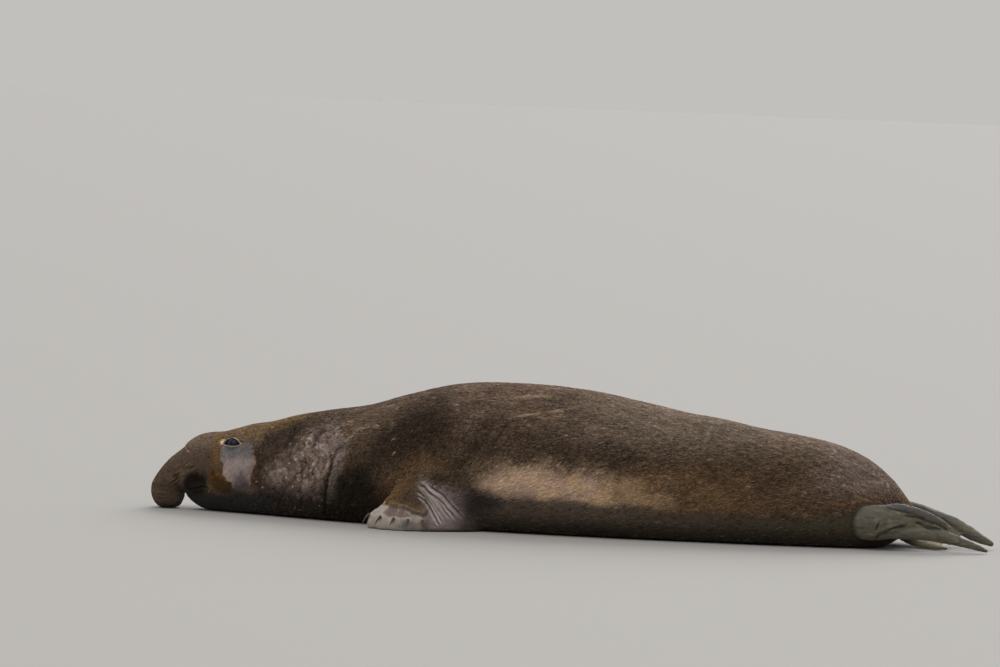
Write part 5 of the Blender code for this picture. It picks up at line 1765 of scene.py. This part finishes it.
def tufts_at(roots, normals, lie, tones, length, width, rng):
    """Closed flat tufts of four faces, pointed, with a ridge. Points, triangles and colours."""
    count = len(roots)
    yaw = np.radians(rng.normal(0, 8, count))
    across = np.cross(normals, lie)
    ahead = lie * np.cos(yaw)[:, None] + across * np.sin(yaw)[:, None]
    across = np.cross(normals, ahead)
    length = length * rng.uniform(0.65, 1.25, count)
    width = width * rng.uniform(0.7, 1.3, count)
    stray = rng.random(count) < STRAY
    lift = length * np.where(stray, rng.uniform(*STRAY_LIFT, count), rng.uniform(*LIFT, count))
    low = roots - normals * SUNK
    first = low - across * (width / 2)[:, None]
    second = low + across * (width / 2)[:, None]
    ridge = roots + ahead * (0.42 * length)[:, None] + normals * (0.10 * length + 0.22 * width)[:, None]
    tip = roots + ahead * length[:, None] + normals * lift[:, None]
    points = np.stack([first, second, tip, ridge], axis=1)
    points[:, :, 2] = np.maximum(points[:, :, 2], 0.0015)
    faces = np.array([(0, 1, 2), (1, 0, 3), (2, 1, 3), (0, 2, 3)])
    triangles = (np.arange(count) * 4)[:, None, None] + faces
    clumps = noise(roots, (0.030, 0.012, 0.012), 81, 2) + 0.5 * noise(roots, (0.10, 0.045, 0.045), 82, 2)
    pale = ramp(tones.mean(axis=1), 0.12, 0.30)
    bright = np.exp((rng.normal(0, 0.42, count) + 0.40 * clumps) * (1 - 0.65 * pale))
    colours = tones * bright[:, None]
    straw = (rng.random(count) < STRAW_SHARE) * rng.uniform(0.3, 0.8, count) * (1 - pale)
    grey = tones.mean(axis=1) / STRAW.mean()
    lighter = STRAW * np.clip(2.6 * grey, 0.26, 1.2)[:, None]
    colours += (lighter - colours) * straw[:, None]
    # Painted shade at each tuft's roots and painted highlight at its tip and ridge
    colours = colours[:, None] * TUFT_SHADE_AND_HIGHLIGHT[None, :, None]
    return points.reshape(-1, 3), triangles.reshape(-1, 3), colours.reshape(-1, 3)


def add_coat(points, triangles, corners, normals, tones, fur, short, lie, rng):
    """The coat's pieces, as objects."""
    chosen, weights = scattered(points, triangles, fur, short, rng)

    def at_roots(values):
        return (values[triangles[chosen]] * weights[:, :, None]).sum(axis=1)

    root_short = at_roots(short[:, None])[:, 0]
    roots = at_roots(points)
    root_normals = at_roots(normals)
    root_normals /= np.linalg.norm(root_normals, axis=1)[:, None]
    root_lie = at_roots(lie)
    root_lie -= root_normals * (root_lie * root_normals).sum(axis=1)[:, None]
    root_lie /= np.maximum(np.linalg.norm(root_lie, axis=1), 1e-9)[:, None]
    root_tones = at_roots(tones)
    root_places = (corners[chosen] * weights[:, :, None]).sum(axis=1)
    place = roots[:, 0] + LENGTH / 2
    made = []
    for name, start, end in COATS:
        mine = np.nonzero((place >= start) & (place < end))[0]
        if len(mine) > TUFTS_PER_PIECE:
            mine = np.sort(rng.choice(mine, TUFTS_PER_PIECE, replace=False))
        scale = 1 - (1 - SHORT) * root_short[mine]
        length, width = scale * size_at(place[mine], 1), scale * size_at(place[mine], 2)
        some_points, some_triangles, colours = tufts_at(
            roots[mine], root_normals[mine], root_lie[mine], root_tones[mine], length, width, rng
        )
        piece = object_from(name, some_points, some_triangles)
        piece.data.shade_flat()
        set_attribute(piece.data, "tone", "FLOAT_COLOR", colours)
        flat = root_places[mine]
        low = flat.min(axis=0)
        flat = UNWRAP_EDGE + (flat - low) * (1 - 2 * UNWRAP_EDGE) / (flat.max(axis=0) - low)
        offsets = np.array([(-0.5, -0.5), (0.5, -0.5), (0.0, 0.5), (0.0, 0.0)]) * PATCH
        of_points = (flat[:, None] + offsets[None]).reshape(-1, 2)
        set_unwrap(piece.data, of_points[triangle_corners(piece.data)])
        piece.data.materials.append(HAIR)
        made.append(piece)
    return made


def triangle_corners(mesh):
    corners = np.empty(len(mesh.loops), np.int32)
    mesh.loops.foreach_get("vertex_index", corners)
    return corners


def hair_tubes(roots, directions, lengths, radii, bend):
    """Closed tapering whiskers of four sides, each bending by the vector bend at its tip."""
    steps, sides = 7, 4
    at = np.linspace(0, 1, steps)
    parts = []
    for root, direction, length, radius, sag in zip(roots, directions, lengths, radii, bend):
        line = root + np.outer(at, direction) * length + np.outer(at**2, sag) * length
        across = np.cross(direction, (0.3, 0.2, 0.9))
        across /= np.linalg.norm(across)
        up = np.cross(across, direction)
        turn = 2 * math.pi * np.arange(sides) / sides
        circle = np.outer(np.cos(turn), across) + np.outer(np.sin(turn), up)
        thin = radius * (1 - 0.85 * at)
        parts.append(loft_arrays(line[:, None] + circle[None] * thin[:, None, None]))
    return joined(parts)


def add_whiskers(tree, rng):
    """Whiskers on the pads and over the eyes, and their roots on both sides."""
    roots, directions, lengths, radii, bend = [], [], [], [], []
    turn = math.radians(WHISKER_ROW_DEG)
    wanted = []
    for row in range(-4, 9):
        for step in range(-4, 9):
            along = 0.015 * (step + 0.5 * (row % 2))
            across = (row + 0.5) * WHISKER_ROW
            at = (0.190 + along * math.cos(turn) - across * math.sin(turn),
                  0.150 + along * math.sin(turn) + across * math.cos(turn))
            if inside(np.array([at]), WHISKER_PAD, 0.001)[0] > 0.5:
                length = 0.026 + 0.030 * min(max((at[0] - 0.13) / 0.15, 0), 1)
                wanted.append((*at, length, 0.00045, (0.75, 0.55, -0.38)))
    for k in range(7):
        at = (0.418 + 0.011 * (k % 4), 0.420 + 0.011 * (k // 4))
        wanted.append((*at, 0.046, 0.00050, (0.62, 0.45, 0.55)))
    for side in (-1, 1):
        for place, height, length, radius, heading in wanted:
            place = to_x(place) + rng.normal(0, 0.0015)
            height += rng.normal(0, 0.0015)
            hit, _, _, _ = tree.ray_cast(Vector((place, side * 1.0, height)), Vector((0, -side, 0)))
            if hit is None:
                continue
            heading = np.array([heading[0], heading[1] * side, heading[2]]) + rng.normal(0, 0.09, 3)
            heading = heading / np.linalg.norm(heading)
            roots.append(np.array(hit) - 0.002 * heading)
            directions.append(heading)
            lengths.append(length * rng.uniform(0.75, 1.15))
            radii.append(radius)
            bend.append(np.array([0.12, 0, -0.22]) + rng.normal(0, 0.05, 3))
    points, faces = hair_tubes(roots, directions, lengths, radii, bend)
    made = object_from("whiskers", points, faces)
    made.data.materials.append(plain_material("whisker", srgb(38, 31, 26), 0.45))
    return made


def add_eye(side):
    """A finer eyeball in the place of the solids' one."""
    centre, radius = eye_sphere(side)
    rows, count = 48, 64
    turn = np.pi * np.arange(1, rows) / rows
    around = 2 * np.pi * np.arange(count) / count
    rings = np.stack([
        -np.cos(turn)[:, None] + 0 * around,
        np.sin(turn)[:, None] * np.cos(around),
        np.sin(turn)[:, None] * np.sin(around),
    ], axis=2)
    points, faces = loft_arrays(rings)
    points[-2], points[-1] = (-1, 0, 0), (1, 0, 0)
    made = object_from("eyeball_left" if side < 0 else "eyeball_right", centre + radius * points, faces)
    made.data.materials.append(EYE)
    return made


# The animal

rng = np.random.default_rng(SEED)
mesh, points, owner, body_face, crease, rings, eyes = build_skin_mesh()
triangles = triangles_of(mesh)
normals = normals_of(points, triangles)
along, arc, girth, ahead = on_body(points, body_face, rings)
points = points + normals * (relief(points, normals, owner, crease) - COAT_DEPTH)[:, None]
points, opening = shape_lids(points, eyes)
points[:, 2] = np.maximum(points[:, 2], 0)
mesh.vertices.foreach_set("co", points.astype(np.float32).ravel())
mesh.update()
normals = normals_of(points, triangles)

tones, fur, smooth_skin = mark(points, normals, owner, crease, opening, eyes)
lie = lie_of(points, normals, owner, ahead)
skin = object_from("skin", points, triangles)
set_attribute(skin.data, "tone", "FLOAT_COLOR", tones)
set_attribute(skin.data, "masks", "FLOAT_COLOR", np.stack([fur, smooth_skin, 0 * fur], axis=1))
set_attribute(skin.data, "grain", "FLOAT_VECTOR", np.stack([along, arc, 0 * arc], axis=1))
corners = unwrapped(points, normals, triangles, owner, along, arc, girth)
low = corners.reshape(-1, 2).min(axis=0)
set_unwrap(skin.data, (UNWRAP_EDGE / 2 + (corners - low) / UNWRAP_SPAN).reshape(-1, 2))
skin.data.materials.append(skin_material())

HAIR = hair_material()
# Dark eye whose navy tint is a painted reflection of the sky
EYE = plain_material("eye", (0.003, 0.008, 0.022), 0.10, 0.12)
limb = np.isin(owner, FORE + HIND).astype(float)
coats = add_coat(points, triangles, corners, normals, tones, fur, limb, lie, rng)
body_tree = BVHTree.FromPolygons(points.tolist(), triangles.tolist())
whiskers = add_whiskers(body_tree, rng)
eyeballs = [add_eye(-1), add_eye(1)]

horn = plain_material("claw", srgb(74, 66, 58), 0.6, 0.2)
for name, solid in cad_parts.items():
    if name.startswith("claw"):
        solid.data.materials.clear()
        solid.data.materials.append(horn)

flesh = [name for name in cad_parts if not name.startswith(("eye", "claw"))]
for piece in (skin, whiskers, *coats):
    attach(piece, "root")
for eyeball, name in zip(eyeballs, ("eye_left", "eye_right")):
    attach(eyeball, "root")
    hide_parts(name)
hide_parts(*flesh)


# Camera, floor and light

CAMERA_AZIMUTH_DEG, CAMERA_ELEVATION_DEG, CAMERA_ROLL_DEG = 10.0, 4.5, 2.33
CAMERA_DISTANCE = 29.0
CAMERA_LENS, SENSOR = 200.0, 36.0
AIM = Vector((to_x(2.275), 0, 0))
AIM_PIXEL = (573.5, 529.3)
PICTURE = (1000, 667)


def add_camera():
    azimuth, elevation = math.radians(CAMERA_AZIMUTH_DEG), math.radians(CAMERA_ELEVATION_DEG)
    back = Vector((
        math.sin(azimuth) * math.cos(elevation),
        -math.cos(azimuth) * math.cos(elevation),
        math.sin(elevation),
    ))
    across = Vector((0, 0, 1)).cross(back).normalized()
    turn = Matrix((across, back.cross(across), back)).transposed()
    turn = turn @ Matrix.Rotation(math.radians(CAMERA_ROLL_DEG), 3, "Z")
    pixels = CAMERA_LENS / SENSOR * PICTURE[0]
    right = (AIM_PIXEL[0] - PICTURE[0] / 2) / pixels
    down = (AIM_PIXEL[1] - PICTURE[1] / 2) / pixels
    turn = turn @ Vector((right, -down, -1)).rotation_difference(Vector((0, 0, -1))).to_matrix()
    data = bpy.data.cameras.new("camera")
    data.lens = CAMERA_LENS
    data.sensor_width = SENSOR
    data.clip_end = 2000
    camera = bpy.data.objects.new("camera", data)
    camera.matrix_world = Matrix.Translation(AIM + back * CAMERA_DISTANCE) @ turn.to_4x4()
    bpy.context.scene.collection.objects.link(camera)
    bpy.context.scene.camera = camera


FLOOR_SIZE = 1500.0
FLOOR_COLOUR = srgb(152, 149, 145)
WORLD_LIGHT = 0.70
# Colour of the world at the horizon, to the floor's, and how high it turns to white
HORIZON = np.array((2.45, 2.51, 2.545))
HORIZON_TO, WHITE_FROM = 0.06, 0.45
# Name, direction it comes from, spread in degrees, strength
SUNS = [
    ("key", (-0.30, -0.45, 1.2), 50.0, 1.00),
    ("back", (0.10, 1.0, 0.62), 45.0, 2.10),
]


def add_floor():
    half = FLOOR_SIZE / 2
    corners = np.array([(-half, -half, 0), (half, -half, 0), (half, half, 0), (-half, half, 0)])
    floor = object_from("floor", corners, np.array([[0, 1, 2, 3]]))
    surface = bpy.data.materials.new("floor")
    surface.use_nodes = True
    shader = surface.node_tree.nodes["Principled BSDF"]
    shader.inputs["Base Color"].default_value = (*FLOOR_COLOUR, 1)
    shader.inputs["Roughness"].default_value = 0.9
    floor.data.materials.append(surface)


def add_light():
    world = bpy.data.worlds.new("studio")
    bpy.context.scene.world = world
    world.use_nodes = True
    tree = world.node_tree
    background = tree.nodes["Background"]
    place = tree.nodes.new("ShaderNodeTexCoord")
    split = tree.nodes.new("ShaderNodeSeparateXYZ")
    tree.links.new(place.outputs["Generated"], split.inputs[0])
    sky = tree.nodes.new("ShaderNodeValToRGB")
    for stop, height, colour in zip(
        sky.color_ramp.elements, (HORIZON_TO, WHITE_FROM), (FLOOR_COLOUR * HORIZON, (1, 1, 1))
    ):
        stop.position = height
        stop.color = (*colour, 1)
    tree.links.new(split.outputs["Z"], sky.inputs[0])
    tree.links.new(sky.outputs[0], background.inputs["Color"])
    background.inputs["Strength"].default_value = WORLD_LIGHT
    for name, direction, spread, strength in SUNS:
        lamp = bpy.data.lights.new(name, "SUN")
        lamp.angle = math.radians(spread)
        lamp.energy = strength
        made = bpy.data.objects.new(name, lamp)
        made.rotation_euler = Vector(direction).to_track_quat("Z", "Y").to_euler()
        bpy.context.scene.collection.objects.link(made)


add_camera()
add_floor()
add_light()
bpy.context.scene.view_settings.view_transform = "Standard"
